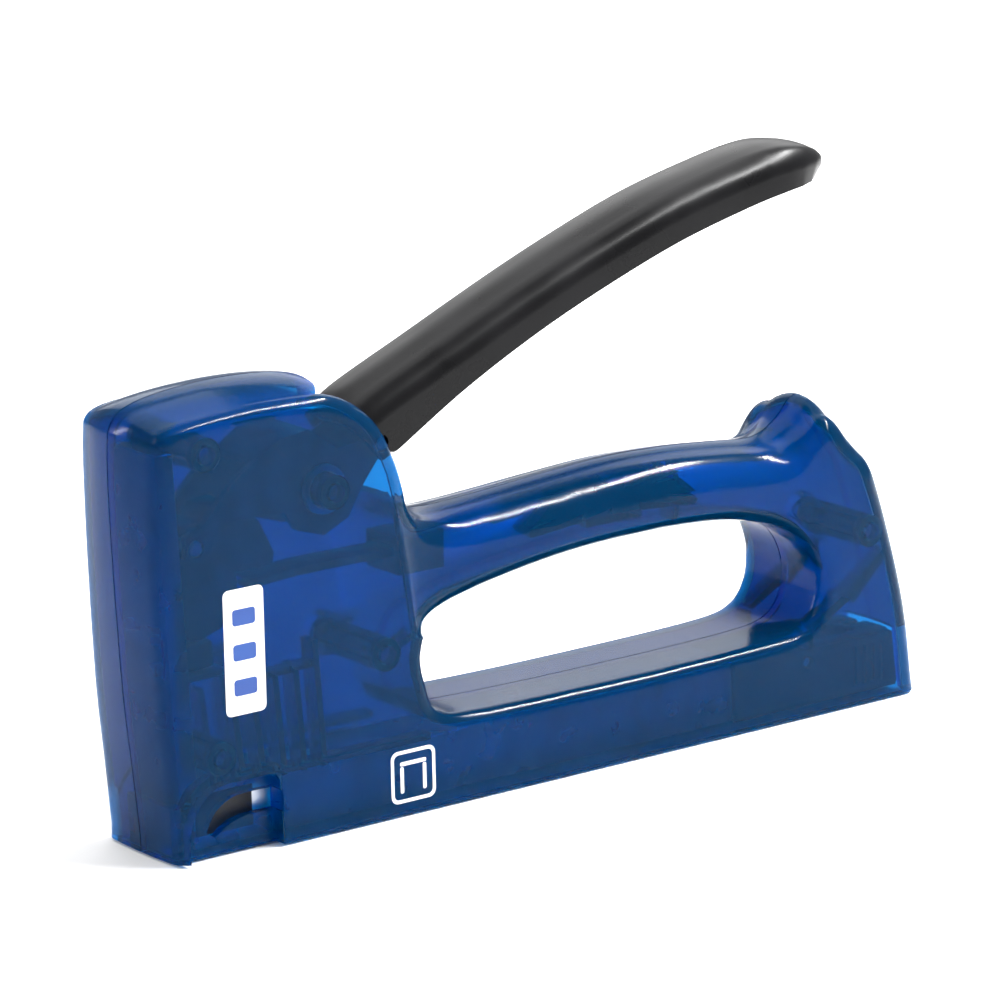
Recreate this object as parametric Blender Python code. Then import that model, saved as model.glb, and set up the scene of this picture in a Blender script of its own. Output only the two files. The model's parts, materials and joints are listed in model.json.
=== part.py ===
"""Hand tacker (staple gun) with a translucent two-half body, a squeezing lever and a base magazine.

Frame: +X runs from the nose to the rear, +Y is the tool's right side and +Z is up. The origin is the
middle of the nose plate's bottom face. Sizes below are in millimetres and become metres in the meshes.
"""

import math

import bmesh
import bpy
from mathutils import Matrix, Vector

MM = 0.001

# Body
BODY_WIDTH = 27.6
HEAD_HEIGHT = 90.0
HEAD_LENGTH = 54.3
HOLE_LENGTH = 100.5
HOLE_HEIGHT = 27.1
BASE_HEIGHT = 16.6
GRIP_THICKNESS = 15.6
GRIP_WIDTH = 22.4
REAR_LENGTH = 26.7
WALL = 2.4
SEAM_GAP = 0.3
RIB = 1.4
SPAN_STEPS = 1
OUTER_WINDOW = 3.0
INNER_WINDOW = 1.5

# Clearances
GAP = 0.3
RUNNING = 0.1
WELD = 0.002

# Lever and its pivot
PIVOT_X = 35.3
PIVOT_BELOW_TOP = 23.4
LEVER_WIDTH = 19.4
LEVER_WALL = 1.6
LEVER_OVERHANG = 9.9
CORE_WIDTH = 14.4
CORE_WALL = 1.5
CROSS_PIN_RADIUS = 1.5
SLEEVE_WALL = 1.2
SLEEVE_RADIUS = 4.9

# Drive: hammer, driver blade and guide, tilted with the front face
DRIVE_TILT_DEG = 2.5
GUIDE_WIDTH = 14.4
GUIDE_DEPTH = 4.0
SHEET = 1.0
NOSE_X0 = -1.0
NOSE_THICKNESS = 1.4
BLADE_WIDTH = 11.6
BLADE_THICKNESS = 0.8
HAMMER_WIDTH = 8.6
LIFT_PIN_RADIUS = 1.5
SPRING_THICKNESS = 1.6
SPRING_WIDTH = 7.0

# Magazine
STAPLE_CROWN = 11.4
STAPLE_LEG = 8.0
STAPLE_WIRE = 0.7
STRIP_LENGTH = 50.0
TRACK_HEIGHT = 12.4
TRACK_FLOOR = 0.6
PULL_LENGTH = 46.0
ROD_RADIUS = 1.1
ROD_Z = 4.6
LATCH_HALF = 3.0
LATCH_PIN_RADIUS = 1.0
PUSHER_LENGTH = 9.0
MAGAZINE_SPRING_TURNS = 14

# Fasteners
BOSS_RADIUS = 3.4
SCREW_RADIUS = 1.2
SCREW_HEAD_RADIUS = 2.7
SCREW_HEAD_HEIGHT = 1.9
SCREW_HEAD_DEPTH = 4.6

HALF = BODY_WIDTH / 2
SEAM = SEAM_GAP / 2
HOLE_X0 = HEAD_LENGTH
HOLE_X1 = HOLE_X0 + HOLE_LENGTH
BODY_REAR = HOLE_X1 + REAR_LENGTH
HOLE_Z0 = BASE_HEIGHT
HOLE_Z1 = HOLE_Z0 + HOLE_HEIGHT
GRIP_TOP = HOLE_Z1 + GRIP_THICKNESS
PIVOT_Z = HEAD_HEIGHT - PIVOT_BELOW_TOP
GUIDE_HEIGHT = HEAD_HEIGHT - 11.0
LIFT_PIN_HEIGHT = PIVOT_Z - 7.1
SPRING_HEIGHT = HOLE_Z1 + 3.7
LEVER_REACH = HOLE_X1 + LEVER_OVERHANG - PIVOT_X
CROSS_PIN = (PIVOT_X + 12.6, PIVOT_Z + 7.2)
PIVOT_BOSS_RADIUS = SLEEVE_RADIUS - SLEEVE_WALL - GAP
GUIDE_X0 = NOSE_X0 + NOSE_THICKNESS + GAP
BLADE_X0 = GUIDE_X0 + SHEET + GAP
HAMMER_X0 = BLADE_X0 + BLADE_THICKNESS + GAP
LIFT_PIN_X = HAMMER_X0 + 5.4
SPRING_TIP_X = HAMMER_X0 + 19.4
STRIP_X0 = BLADE_X0 + BLADE_THICKNESS + 0.5
PULL_X0 = BODY_REAR - PULL_LENGTH
TRACK_HALF = STAPLE_CROWN / 2 + GAP + SHEET + GAP
CROWN_Z = TRACK_FLOOR + STAPLE_LEG + GAP
PUSHER_X = STRIP_X0 + STRIP_LENGTH + GAP
LATCH_PIN = (PULL_X0 + 19.5, TRACK_HEIGHT - 3.0)

BOSSES = {
    "front_top": (6.0, HEAD_HEIGHT - 11.2),
    "pivot": (PIVOT_X, PIVOT_Z),
    "middle": (HEAD_LENGTH - 8.0, BASE_HEIGHT + 15.7),
    "front_bottom": (7.4, 19.0),
    "rear": (HOLE_X1 + 14.2, BASE_HEIGHT + 19.1),
}


# ---------------------------------------------------------------- materials


def material(name, colour, roughness, metallic=0.0, transmission=0.0):
    """A plain Principled material."""
    made = bpy.data.materials.new(name)
    made.use_nodes = True
    shader = made.node_tree.nodes["Principled BSDF"]
    shader.inputs["Base Color"].default_value = (*colour, 1.0)
    shader.inputs["Roughness"].default_value = roughness
    shader.inputs["Metallic"].default_value = metallic
    shader.inputs["Transmission Weight"].default_value = transmission
    made.diffuse_color = (*colour, 1.0)
    return made


def make_materials():
    """Every finish of the tool, by name."""
    return {
        "blue_plastic": material("blue_plastic", (0.01, 0.16, 0.62), 0.25, transmission=0.6),
        "black_lever": material("black_lever", (0.012, 0.012, 0.014), 0.38),
        "dark_steel": material("dark_steel", (0.09, 0.09, 0.1), 0.35, metallic=1.0),
        "zinc_steel": material("zinc_steel", (0.62, 0.63, 0.65), 0.3, metallic=1.0),
        "staple_wire": material("staple_wire", (0.72, 0.73, 0.75), 0.28, metallic=1.0),
        "black_plastic": material("black_plastic", (0.02, 0.02, 0.022), 0.45),
        "rubber": material("rubber", (0.03, 0.03, 0.03), 0.8),
    }


# ---------------------------------------------------------------- mesh helpers


def add_object(name, bm, finish):
    """Turns a bmesh in millimetres into an object in metres."""
    bmesh.ops.scale(bm, vec=(MM, MM, MM), verts=bm.verts)
    mesh = bpy.data.meshes.new(name)
    bm.to_mesh(mesh)
    bm.free()
    mesh.shade_smooth()
    mesh.set_sharp_from_angle(angle=math.radians(35))
    made = bpy.data.objects.new(name, mesh)
    bpy.context.scene.collection.objects.link(made)
    if finish:
        mesh.materials.append(finish)
    return made


def baked_boolean(bm, tool, operation):
    """The Boolean of two bmeshes in millimetres, as a new bmesh. Both inputs are used up."""
    for given in (bm, tool):
        bmesh.ops.triangulate(given, faces=given.faces)
    target = add_object("boolean_target", bm, None)
    cutter = add_object("boolean_tool", tool, None)
    step = target.modifiers.new("step", "BOOLEAN")
    step.object = cutter
    step.operation = operation
    step.use_self = True
    graph = bpy.context.evaluated_depsgraph_get()
    result = bmesh.new()
    result.from_mesh(target.evaluated_get(graph).to_mesh())
    bmesh.ops.scale(result, vec=(1 / MM,) * 3, verts=result.verts)
    bmesh.ops.remove_doubles(result, verts=result.verts, dist=WELD)
    bmesh.ops.dissolve_degenerate(result, edges=result.edges, dist=WELD)
    for spent in (target, cutter):
        mesh = spent.data
        bpy.data.objects.remove(spent)
        bpy.data.meshes.remove(mesh)
    return result


def cut(bm, tool):
    return baked_boolean(bm, tool, "DIFFERENCE")


def join(bm, tool):
    return baked_boolean(bm, tool, "UNION")


def merged(*parts):
    """One bmesh that holds the bodies of several. The parts are used up."""
    whole = bmesh.new()
    for part in parts:
        mesh = bpy.data.meshes.new("part")
        part.to_mesh(mesh)
        part.free()
        whole.from_mesh(mesh)
        bpy.data.meshes.remove(mesh)
    return whole


def box(x0, x1, y0, y1, z0, z1):
    """An axis-aligned block between two corners."""
    bm = bmesh.new()
    bmesh.ops.create_cube(bm, size=1.0)
    bmesh.ops.scale(bm, vec=(x1 - x0, y1 - y0, z1 - z0), verts=bm.verts)
    bmesh.ops.translate(bm, vec=((x0 + x1) / 2, (y0 + y1) / 2, (z0 + z1) / 2), verts=bm.verts)
    return bm


def prism(outline, y0, y1):
    """An outline of (x, z) points pushed out along Y."""
    bm = bmesh.new()
    face = bm.faces.new([bm.verts.new((x, y0, z)) for x, z in outline])
    pushed = bmesh.ops.extrude_face_region(bm, geom=[face])
    moved = [item for item in pushed["geom"] if isinstance(item, bmesh.types.BMVert)]
    bmesh.ops.translate(bm, vec=(0, y1 - y0, 0), verts=moved)
    bmesh.ops.recalc_face_normals(bm, faces=bm.faces)
    return bm


def disc(x, z, radius, y0, y1, sides=24):
    """A round bar along Y."""
    turn = [2 * math.pi * (i + 0.5) / sides for i in range(sides)]
    return prism([(x + radius * math.cos(a), z + radius * math.sin(a)) for a in turn], y0, y1)


def rod(y, z, radius, x0, x1, sides=16):
    """A round bar along X."""
    bm = disc(0.0, 0.0, radius, 0.0, x1 - x0, sides)
    bmesh.ops.rotate(bm, matrix=Matrix.Rotation(-math.pi / 2, 3, "Z"), verts=bm.verts)
    bmesh.ops.translate(bm, vec=(x0, y, z), verts=bm.verts)
    return bm


def loft(rows, closed_ring=False):
    """Quads between rows of points. A ring joins its last row to its first; an open loft gets end caps."""
    bm = bmesh.new()
    lines = [[bm.verts.new(point) for point in row] for row in rows]
    count = len(lines[0])
    pairs = list(zip(lines, lines[1:]))
    if closed_ring:
        pairs.append((lines[-1], lines[0]))
    for first, second in pairs:
        for i in range(count):
            j = (i + 1) % count
            bm.faces.new((first[i], first[j], second[j], second[i]))
    if not closed_ring:
        bm.faces.new(lines[0])
        bm.faces.new(lines[-1])
    bmesh.ops.recalc_face_normals(bm, faces=bm.faces)
    return bm


def mirrored(bm):
    """The same body on the other side of Y = 0."""
    bmesh.ops.scale(bm, vec=(1, -1, 1), verts=bm.verts)
    bmesh.ops.reverse_faces(bm, faces=bm.faces)
    return bm


def tilted(bm):
    """Leans a body of the drive forward about the origin, along with the front face."""
    lean = Matrix.Rotation(math.radians(-DRIVE_TILT_DEG), 3, "Y")
    bmesh.ops.rotate(bm, matrix=lean, verts=bm.verts)
    return bm


def tilted_point(x, z):
    """Where a point of the upright drive lies once it leans forward."""
    lean = math.radians(DRIVE_TILT_DEG)
    return x * math.cos(lean) - z * math.sin(lean), x * math.sin(lean) + z * math.cos(lean)


def spline(points, steps, closed=False):
    """A Catmull-Rom curve through tuples of any length, with a number of steps in each span."""
    count = len(points)
    spans = count if closed else count - 1
    curve = []
    for i in range(spans):
        if closed:
            around = [points[(i + k) % count] for k in (-1, 0, 1, 2)]
        else:
            around = [points[min(max(i + k, 0), count - 1)] for k in (-1, 0, 1, 2)]
        for step in range(steps):
            t = step / steps
            curve.append(tuple(
                0.5 * (2 * b + (c - a) * t + (2 * a - 5 * b + 4 * c - d) * t**2
                       + (3 * b - a - 3 * c + d) * t**3)
                for a, b, c, d in zip(*around)
            ))
    if not closed:
        curve.append(tuple(points[-1]))
    return curve


def thick_line(points, width):
    """The outline of a band of even width along an open line of (x, z) points."""
    left, right = [], []
    for i, (x, z) in enumerate(points):
        ahead = Vector(points[min(i + 1, len(points) - 1)])
        behind = Vector(points[max(i - 1, 0)])
        along = (ahead - behind).normalized()
        left.append((x - along.y * width / 2, z + along.x * width / 2))
        right.append((x + along.y * width / 2, z - along.x * width / 2))
    return left + right[::-1]


# ---------------------------------------------------------------- shells


def ring_stations():
    """Key stations round the body: outer x, z, finger-hole x, z, half width, edge radius, crown, rim
    radius, and how far the outer edge's rounding aims at the finger hole in place of square to the outline.

    They run from under the nose up the front, over the head, along the grip, over the horn, down the
    rear and back under the base. The outline dips below the base, which is then cut off flat.
    """
    top, grip, floor = HEAD_HEIGHT, GRIP_TOP, HOLE_Z0
    under = -12.0
    x0, x1, rear = HOLE_X0, HOLE_X1, BODY_REAR
    hand = GRIP_WIDTH / 2
    hole_top = HOLE_Z1
    right_mid = floor + HOLE_HEIGHT * 0.45

    def wall(share):
        """A height on the front wall of the finger hole, from its lower bend to its upper one."""
        return floor + 6.0 + share * (HOLE_HEIGHT - 15.0)

    return (
        (4.0, under, x0 + 8.0, floor + 0.9, HALF, 4.0, 0.4, 3.0, 0.0),
        (-3.6, -4.0, x0 + 4.6, floor + 2.0, HALF, 4.0, 0.4, 3.0, 0.0),
        (-4.1, 3.0, x0 + 3.1, floor + 3.2, HALF, 4.0, 0.4, 3.0, 0.0),
        (-5.3, 16.5, x0 + 1.9, floor + 5.0, HALF, 4.0, 0.5, 3.0, 0.0),
        (-6.7, 31.0, x0 + 0.9, wall(0.22), HALF, 4.0, 0.7, 3.0, 0.0),
        (-7.8, top - 37.0, x0 + 0.3, wall(0.40), HALF, 4.2, 1.0, 3.0, 0.0),
        (-8.3, top - 20.0, x0 + 0.1, wall(0.52), HALF, 4.2, 1.3, 3.0, 0.0),
        (-8.2, top - 9.6, x0, wall(0.60), HALF, 4.0, 1.5, 3.0, 0.0),
        (-7.3, top - 5.2, x0, wall(0.64), HALF, 3.6, 1.7, 3.0, 0.0),
        (-3.6, top - 2.3, x0, wall(0.67), HALF, 3.2, 2.2, 3.0, 0.0),
        (5.0, top - 0.6, x0 + 0.1, wall(0.71), HALF, 3.0, 2.8, 3.0, 0.0),
        (16.0, top, x0 + 0.2, wall(0.75), HALF, 3.0, 3.0, 3.0, 0.0),
        (27.0, top - 0.5, x0 + 0.3, wall(0.79), HALF, 3.2, 2.8, 3.0, 0.0),
        (35.0, top - 2.0, x0 + 0.4, wall(0.83), HALF, 3.4, 2.2, 3.0, 0.0),
        (x0 - 12.8, top - 5.6, x0 + 0.5, wall(0.86), HALF, 3.6, 1.6, 3.0, 0.0),
        (x0 - 7.3, top - 11.4, x0 + 0.6, wall(0.89), HALF, 3.6, 1.2, 3.0, 0.0),
        (x0 - 3.7, top - 19.0, x0 + 0.7, wall(0.92), HALF, 3.6, 1.0, 3.0, 0.0),
        (x0 - 2.1, (top + grip) / 2 - 9.6, x0 + 0.9, wall(0.96), HALF, 3.6, 0.8, 3.0, 0.0),
        (x0 - 0.6, grip + 1.8, x0 + 1.3, hole_top - 8.9, 13.0, 4.0, 0.8, 3.6, 0.0),
        (x0 + 2.8, grip - 1.2, x0 + 3.0, hole_top - 7.3, 11.8, 5.0, 0.8, 4.6, 0.0),
        (x0 + 8.5, grip - 2.4, x0 + 7.4, hole_top - 5.8, hand, 6.0, 0.8, 5.6, 0.0),
        (x0 + 16.0, grip - 2.3, x0 + 14.2, hole_top - 4.2, hand, 6.6, 0.8, 6.2, 0.0),
        (x0 + 26.0, grip - 1.7, x0 + 24.6, hole_top - 2.4, hand, 7.0, 0.8, 6.4, 0.0),
        (x0 + 41.0, grip - 0.7, x0 + 40.0, hole_top - 0.6, hand, 7.2, 0.8, 6.6, 0.0),
        ((x0 + x1) / 2 + 5.5, grip, (x0 + x1) / 2 + 5.0, hole_top, hand, 7.4, 0.8, 6.6, 0.0),
        (x1 - 29.8, grip - 0.4, x1 - 30.4, hole_top - 0.2, hand, 7.4, 0.9, 6.6, 0.0),
        (x1 - 18.0, grip - 1.4, x1 - 19.4, hole_top - 1.1, hand, 7.2, 1.0, 6.2, 0.0),
        (x1 - 9.8, grip - 2.2, x1 - 12.4, hole_top - 2.5, 11.3, 6.8, 1.2, 5.4, 0.3),
        (x1 - 4.8, grip - 1.4, x1 - 8.0, hole_top - 3.8, 11.7, 6.4, 1.6, 4.8, 0.7),
        (x1 - 0.8, grip + 1.1, x1 - 4.9, hole_top - 5.5, 12.2, 6.0, 2.2, 4.2, 1.0),
        (x1 + 2.2, grip + 4.2, x1 - 3.2, hole_top - 7.1, 12.6, 5.6, 2.6, 3.8, 1.0),
        (x1 + 4.4, grip + 5.1, x1 - 2.0, hole_top - 8.7, 12.9, 5.4, 2.8, 3.4, 1.0),
        (x1 + 7.0, grip + 3.5, x1 - 1.0, hole_top - 10.6, 13.1, 5.4, 2.6, 3.0, 1.0),
        (x1 + 9.8, grip - 0.5, x1 - 0.4, right_mid + 2.6, 13.3, 5.2, 2.2, 3.0, 1.0),
        (x1 + 12.4, grip - 4.0, x1, right_mid + 1.2, 13.5, 5.0, 1.8, 3.0, 1.0),
        (x1 + 14.8, grip - 7.2, x1 + 0.2, right_mid, 13.7, 4.6, 1.4, 3.0, 0.8),
        (x1 + 16.8, grip - 11.8, x1 + 0.2, right_mid - 1.3, HALF, 4.2, 1.2, 3.0, 0.5),
        (rear - 6.2, grip * 0.59, x1 + 0.1, right_mid - 3.3, HALF, 4.0, 1.0, 3.0, 0.2),
        (rear - 2.2, grip * 0.32, x1 - 0.6, floor + 6.4, HALF, 4.0, 1.0, 3.0, 0.0),
        (rear - 0.3, 4.0, x1 - 2.0, floor + 4.0, HALF, 4.0, 1.0, 3.0, 0.0),
        (rear, -4.0, x1 - 4.2, floor + 2.2, HALF, 4.0, 1.0, 3.0, 0.0),
        (rear - 7.6, under, x1 - 8.3, floor + 0.9, HALF, 4.0, 0.4, 3.0, 0.0),
        (x1 - 8.0, under, x1 - 17.0, floor + 0.3, HALF, 4.0, 0.4, 3.0, 0.0),
        (x1 - 34.0, under, x1 - 36.0, floor, HALF, 4.0, 0.4, 3.0, 0.0),
        (x0 + 36.0, under, x0 + 36.0, floor, HALF, 4.0, 0.4, 3.0, 0.0),
        (x0 + 12.0, under, x0 + 16.0, floor + 0.4, HALF, 4.0, 0.4, 3.0, 0.0),
    )


def smoothed_inward(points, window, sign):
    """Unit vectors into the material at each point of a closed outline, averaged over a window of arc length."""
    count = len(points)
    spots = [Vector(point) for point in points]
    normals = []
    for i in range(count):
        along = spots[(i + 1) % count] - spots[i - 1]
        normals.append(Vector((along.y, -along.x)).normalized() * sign)
    averaged = []
    for i in range(count):
        total = normals[i].copy()
        for way in (1, -1):
            far = 0.0
            k = i
            while far < window:
                near = spots[k]
                k = (k + way) % count
                step = (spots[k] - near).length
                far += step
                total += normals[k] * max(0.0, 1.0 - far / window)
        averaged.append(total.normalized())
    return averaged, normals


def edge_profile(origin, inward, normal, half, radius, crown, offset, seam_y, arc_steps):
    """Points from the seam round one long edge of the body to its side face."""
    reach = offset / max(inward.dot(normal), 0.5)
    radius = max(radius - offset, 0.4)
    width = half - offset
    flat = width - radius
    points = []
    for share in (0.0, 0.55, 1.0):
        deep = reach + crown * share**2
        across = seam_y if share == 0.0 else -flat * share
        points.append((origin + inward * deep, across))
    for step in range(1, arc_steps + 1):
        angle = math.pi / 2 * step / arc_steps
        deep = reach + crown + radius * (1 - math.cos(angle))
        points.append((origin + inward * deep, -(flat + radius * math.sin(angle))))
    return points


def half_solid(offset, seam_y, arc_steps=3):
    """The left half of the body as one ring-shaped solid, sunk by an offset below the outer surface."""
    keys = spline(ring_stations(), SPAN_STEPS, closed=True)
    outer = [key[0:2] for key in keys]
    hole = [key[2:4] for key in keys]
    outer_in, outer_normal = smoothed_inward(outer, OUTER_WINDOW, 1)
    hole_in, hole_normal = smoothed_inward(hole, INNER_WINDOW, -1)
    rows = []
    for i, (ox, oz, hx, hz, half, edge, crown, rim, aim) in enumerate(keys):
        section = Vector((hx, hz)) - Vector((ox, oz))
        across = section.length - 2 * offset
        inward = outer_in[i].lerp(section.normalized(), aim).normalized()
        room = min(1.0, 0.96 * across / (edge + crown + rim))
        front = edge_profile(
            Vector((ox, oz)), inward, outer_normal[i],
            half, edge * room, crown * room, offset, seam_y, arc_steps)
        back = edge_profile(
            Vector((hx, hz)), hole_in[i], hole_normal[i],
            half, rim * room, 0.0, offset, seam_y, arc_steps)
        loop = front + back[::-1]
        rows.append([(spot.x, y, spot.y) for spot, y in loop])
    return loft(rows, closed_ring=True)


def stem(points, y_end, width=RIB):
    """A rib that stands on the left wall and ends at a depth of y_end."""
    return prism(thick_line(points, width), -HALF, -y_end)


def left_ribs():
    """Ribs that stiffen the left shell and carry the mechanism."""
    made = []
    foot = TRACK_HEIGHT + 1.6
    for i in range(6):
        x = 7.6 + 4.7 * i
        top = (22.0, 27.0, 27.0, 33.0, 34.5, 38.5)[i]
        made.append(stem([(x, foot - 1.0), (x - 1.6, top)], 8.6, 1.2))
    made.append(stem([(12.0, foot), (HEAD_LENGTH + 2.0, foot)], 8.2))
    made.append(stem([(15.5, 33.4), (30.0, 34.0)], 8.6))
    middle_x, middle_z = BOSSES["middle"]
    made.append(stem([(middle_x, middle_z), (HOLE_X0 + 1.0, middle_z + 4.0)], 8.0))
    truss = []
    for i in range(7):
        truss.append((HOLE_X0 + 29.0 + 7.0 * i, GRIP_TOP - (3.4 if i % 2 else 10.2)))
    made.append(stem(truss, 6.6, 1.1))
    made.append(stem([(HOLE_X0 + 66.0, HOLE_Z1 + 1.4), (HOLE_X0 + 66.4, GRIP_TOP - 2.0)], 6.6, 1.1))
    rear_x, rear_z = BOSSES["rear"]
    made.append(stem([(HOLE_X1 - 1.0, 17.5), (HOLE_X1 + 9.0, 21.6), (BODY_REAR - 6.0, rear_z - 3.0)], 8.0))
    made.append(stem([(HOLE_X1 - 2.0, 16.5), (HOLE_X1 - 2.0, TRACK_HEIGHT + 1.0)], 8.0))
    return made


def recess_outline(inset=0.0):
    """The arched recess at the nose through which the staples show, seen from the side."""
    x0, x1 = -1.4 - inset, 19.2 - inset
    top = 14.6 - inset
    lean = 0.6
    bend = [(x0 + inset * 2 + 9.0 * (1 - math.cos(a)), 5.0 + (top - 5.0) * math.sin(a))
            for a in [math.pi / 2 * k / 6 for k in range(7)]]
    corner = [(x1 - 2.2 + 2.2 * math.sin(a), top - 2.2 * (1 - math.cos(a)))
              for a in [math.pi / 2 * k / 3 for k in range(4)]]
    return [(x0 + inset * 2, -2.0)] + bend + corner + [(x1 + lean, -2.0)]


def window_outline():
    """The slot in the recess floor: an arch over a ledge."""
    upper = [(3.8, 4.8), (5.6, 8.0), (8.4, 10.1), (12.0, 11.0), (19.9, 10.9)]
    lower = [(19.9, 6.5), (12.6, 6.4), (8.8, 5.4), (5.9, 3.4)]
    return upper + lower


def lever_slot():
    """The space that the lever sweeps through the back of the head."""
    half = LEVER_WIDTH / 2 + 0.7
    outline = [
        (HEAD_LENGTH - 27.0, HEAD_HEIGHT - 5.6),
        (HEAD_LENGTH - 19.6, HEAD_HEIGHT - 2.8),
        (HEAD_LENGTH - 17.0, HEAD_HEIGHT + 4.0),
        (HEAD_LENGTH + 8.0, HEAD_HEIGHT + 4.0),
        (HEAD_LENGTH + 8.0, GRIP_TOP + 3.4),
        (HEAD_LENGTH - 3.6, GRIP_TOP + 2.6),
        (HEAD_LENGTH - 8.0, GRIP_TOP + 2.6),
    ]
    return prism(outline, -half, half)


def shell_half(right):
    """One half of the body with its ribs, bosses and openings, modelled on the left side."""
    shell = cut(half_solid(0.0, -SEAM), half_solid(WALL, 1.0))
    shell = cut(shell, box(-30, BODY_REAR + 30, -40, 5, -40, 0))
    radii = {name: PIVOT_BOSS_RADIUS if name == "pivot" else BOSS_RADIUS for name in BOSSES}
    bosses = [disc(x, z, radii[name], -HALF, -SEAM) for name, (x, z) in BOSSES.items()]
    if right:
        shoulder = max(CORE_WIDTH, GUIDE_WIDTH) / 2 + 1.4
        bosses += [disc(x, z, radii[name] + 1.0, -HALF, -shoulder) for name, (x, z) in BOSSES.items()]
    ledge = prism(recess_outline(-1.6), -HALF, -(HALF - 4.6))
    ledge = cut(ledge, box(-30, 60, -40, 5, -40, 0))
    features = merged(*left_ribs(), *bosses, ledge)
    inside = baked_boolean(features, half_solid(WALL / 2, 1.0), "INTERSECT")
    inside = cut(inside, box(-30, BODY_REAR + 30, -40, 5, -40, 0.0))
    shell = join(shell, inside)
    shell = cut(shell, prism(recess_outline(), -HALF - 5, -(HALF - 2.8)))
    shell = cut(shell, prism(window_outline(), -HALF - 5, -(HALF - 6.0)))
    shell = cut(shell, lever_slot())
    rear_mouth = box(BODY_REAR - 12, BODY_REAR + 5, -(TRACK_HALF + 1.2), 5, -5, TRACK_HEIGHT + 0.6)
    shell = cut(shell, rear_mouth)
    holes = []
    for x, z in BOSSES.values():
        if right:
            holes.append(disc(x, z, SCREW_RADIUS + GAP, -HALF - 5, 5, 16))
            holes.append(disc(x, z, SCREW_HEAD_RADIUS + GAP, -HALF - 5, -(HALF - SCREW_HEAD_DEPTH), 20))
        else:
            holes.append(disc(x, z, SCREW_RADIUS + RUNNING, -9.5, 5, 16))
    shell = cut(shell, merged(*holes))
    return mirrored(shell) if right else shell


def shell_screw(x, z):
    """A pan-head screw put in from the right side, with a cross recess."""
    seat = HALF - SCREW_HEAD_DEPTH + GAP
    tip = -8.6
    profile = [(0.0, tip), (0.7, tip + 0.4), (SCREW_RADIUS, tip + 2.0), (SCREW_RADIUS, seat),
               (SCREW_HEAD_RADIUS, seat), (SCREW_HEAD_RADIUS, seat + SCREW_HEAD_HEIGHT * 0.5),
               (SCREW_HEAD_RADIUS * 0.75, seat + SCREW_HEAD_HEIGHT * 0.9), (0.0, seat + SCREW_HEAD_HEIGHT)]
    bm = bmesh.new()
    line = [bm.verts.new((radius, y, 0.0)) for radius, y in profile]
    edges = [bm.edges.new(pair) for pair in zip(line, line[1:])]
    bmesh.ops.spin(bm, geom=line + edges, cent=(0, 0, 0), axis=(0, 1, 0), angle=2 * math.pi,
                   steps=16, use_merge=True)
    bmesh.ops.remove_doubles(bm, verts=bm.verts, dist=0.001)
    bmesh.ops.recalc_face_normals(bm, faces=bm.faces)
    arm, slot, floor = 1.6, 0.35, seat + SCREW_HEAD_HEIGHT * 0.45
    for wide, deep in ((arm, slot), (slot, arm)):
        bm = cut(bm, box(-wide, wide, floor, seat + 5, -deep, deep))
    bmesh.ops.translate(bm, vec=(x, 0, z), verts=bm.verts)
    return bm


# ---------------------------------------------------------------- lever


def lever_line(steps=3):
    """The middle of the lever's top from its root to its tip, with its depth and half width: x, z, depth, half."""
    reach = LEVER_REACH / 100.0
    half = LEVER_WIDTH / 2
    keys = (
        (4.4 * reach, 12.0, 10.6, half - 0.2),
        (8.9 * reach, 16.4, 12.2, half - 0.2),
        (22.9 * reach, 24.2, 10.0, half - 0.2),
        (36.9 * reach, 31.9, 9.2, half - 0.2),
        (50.9 * reach, 38.9, 9.0, half - 0.1),
        (65.0 * reach, 45.1, 9.0, half),
        (79.0 * reach, 49.4, 8.8, half),
        (87.3 * reach, 51.2, 8.6, half),
        (92.5 * reach, 51.1, 8.0, half - 0.7),
        (96.3 * reach, 49.8, 6.9, half - 2.2),
        (98.8 * reach, 48.0, 5.4, half - 4.2),
        (100.0 * reach, 46.2, 3.8, half - 6.4),
    )
    shifted = [(PIVOT_X + x, PIVOT_Z + z, depth, wide) for x, z, depth, wide in keys]
    return spline(shifted, steps)


def channel_section(wide, depth, wall, corner):
    """The U-section of the lever, open below, as (y, down) points."""
    steps = 3
    outer = [(wide, depth)]
    for i in range(steps + 1):
        a = math.pi / 2 * i / steps
        outer.append((wide - corner + corner * math.cos(a), corner - corner * math.sin(a)))
    outer.append((0.0, -0.35))
    outer += [(-y, down) for y, down in outer[-2::-1]]
    inner_wide, inner_corner = wide - wall, max(corner - wall, 0.3)
    inner = [(inner_wide, depth)]
    for i in range(steps + 1):
        a = math.pi / 2 * i / steps
        inner.append((inner_wide - inner_corner + inner_corner * math.cos(a),
                      wall + inner_corner - inner_corner * math.sin(a)))
    inner += [(-y, down) for y, down in inner[::-1]]
    return outer + inner[::-1]


def lever_arm():
    """The long black arm: a U-section along the lever's line, closed by a rounded tip."""
    line = lever_line()
    rows = []
    for i, (x, z, depth, wide) in enumerate(line):
        ahead = Vector(line[min(i + 1, len(line) - 1)][0:2])
        behind = Vector(line[max(i - 1, 0)][0:2])
        along = (ahead - behind).normalized()
        down = Vector((along.y, -along.x))
        corner = min(5.0, depth * 0.55, wide * 0.8)
        rows.append([(x + down.x * sink, y, z + down.y * sink)
                     for y, sink in channel_section(wide, depth, LEVER_WALL, corner)])
    arm = loft(rows)
    pin_x, pin_z = CROSS_PIN
    return cut(arm, disc(pin_x, pin_z, CROSS_PIN_RADIUS + GAP, -20, 20, 16))


def lift_point():
    """Where the lift pin lies at rest, in the drive's leaning frame."""
    return tilted_point(LIFT_PIN_X, LIFT_PIN_HEIGHT)


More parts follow.
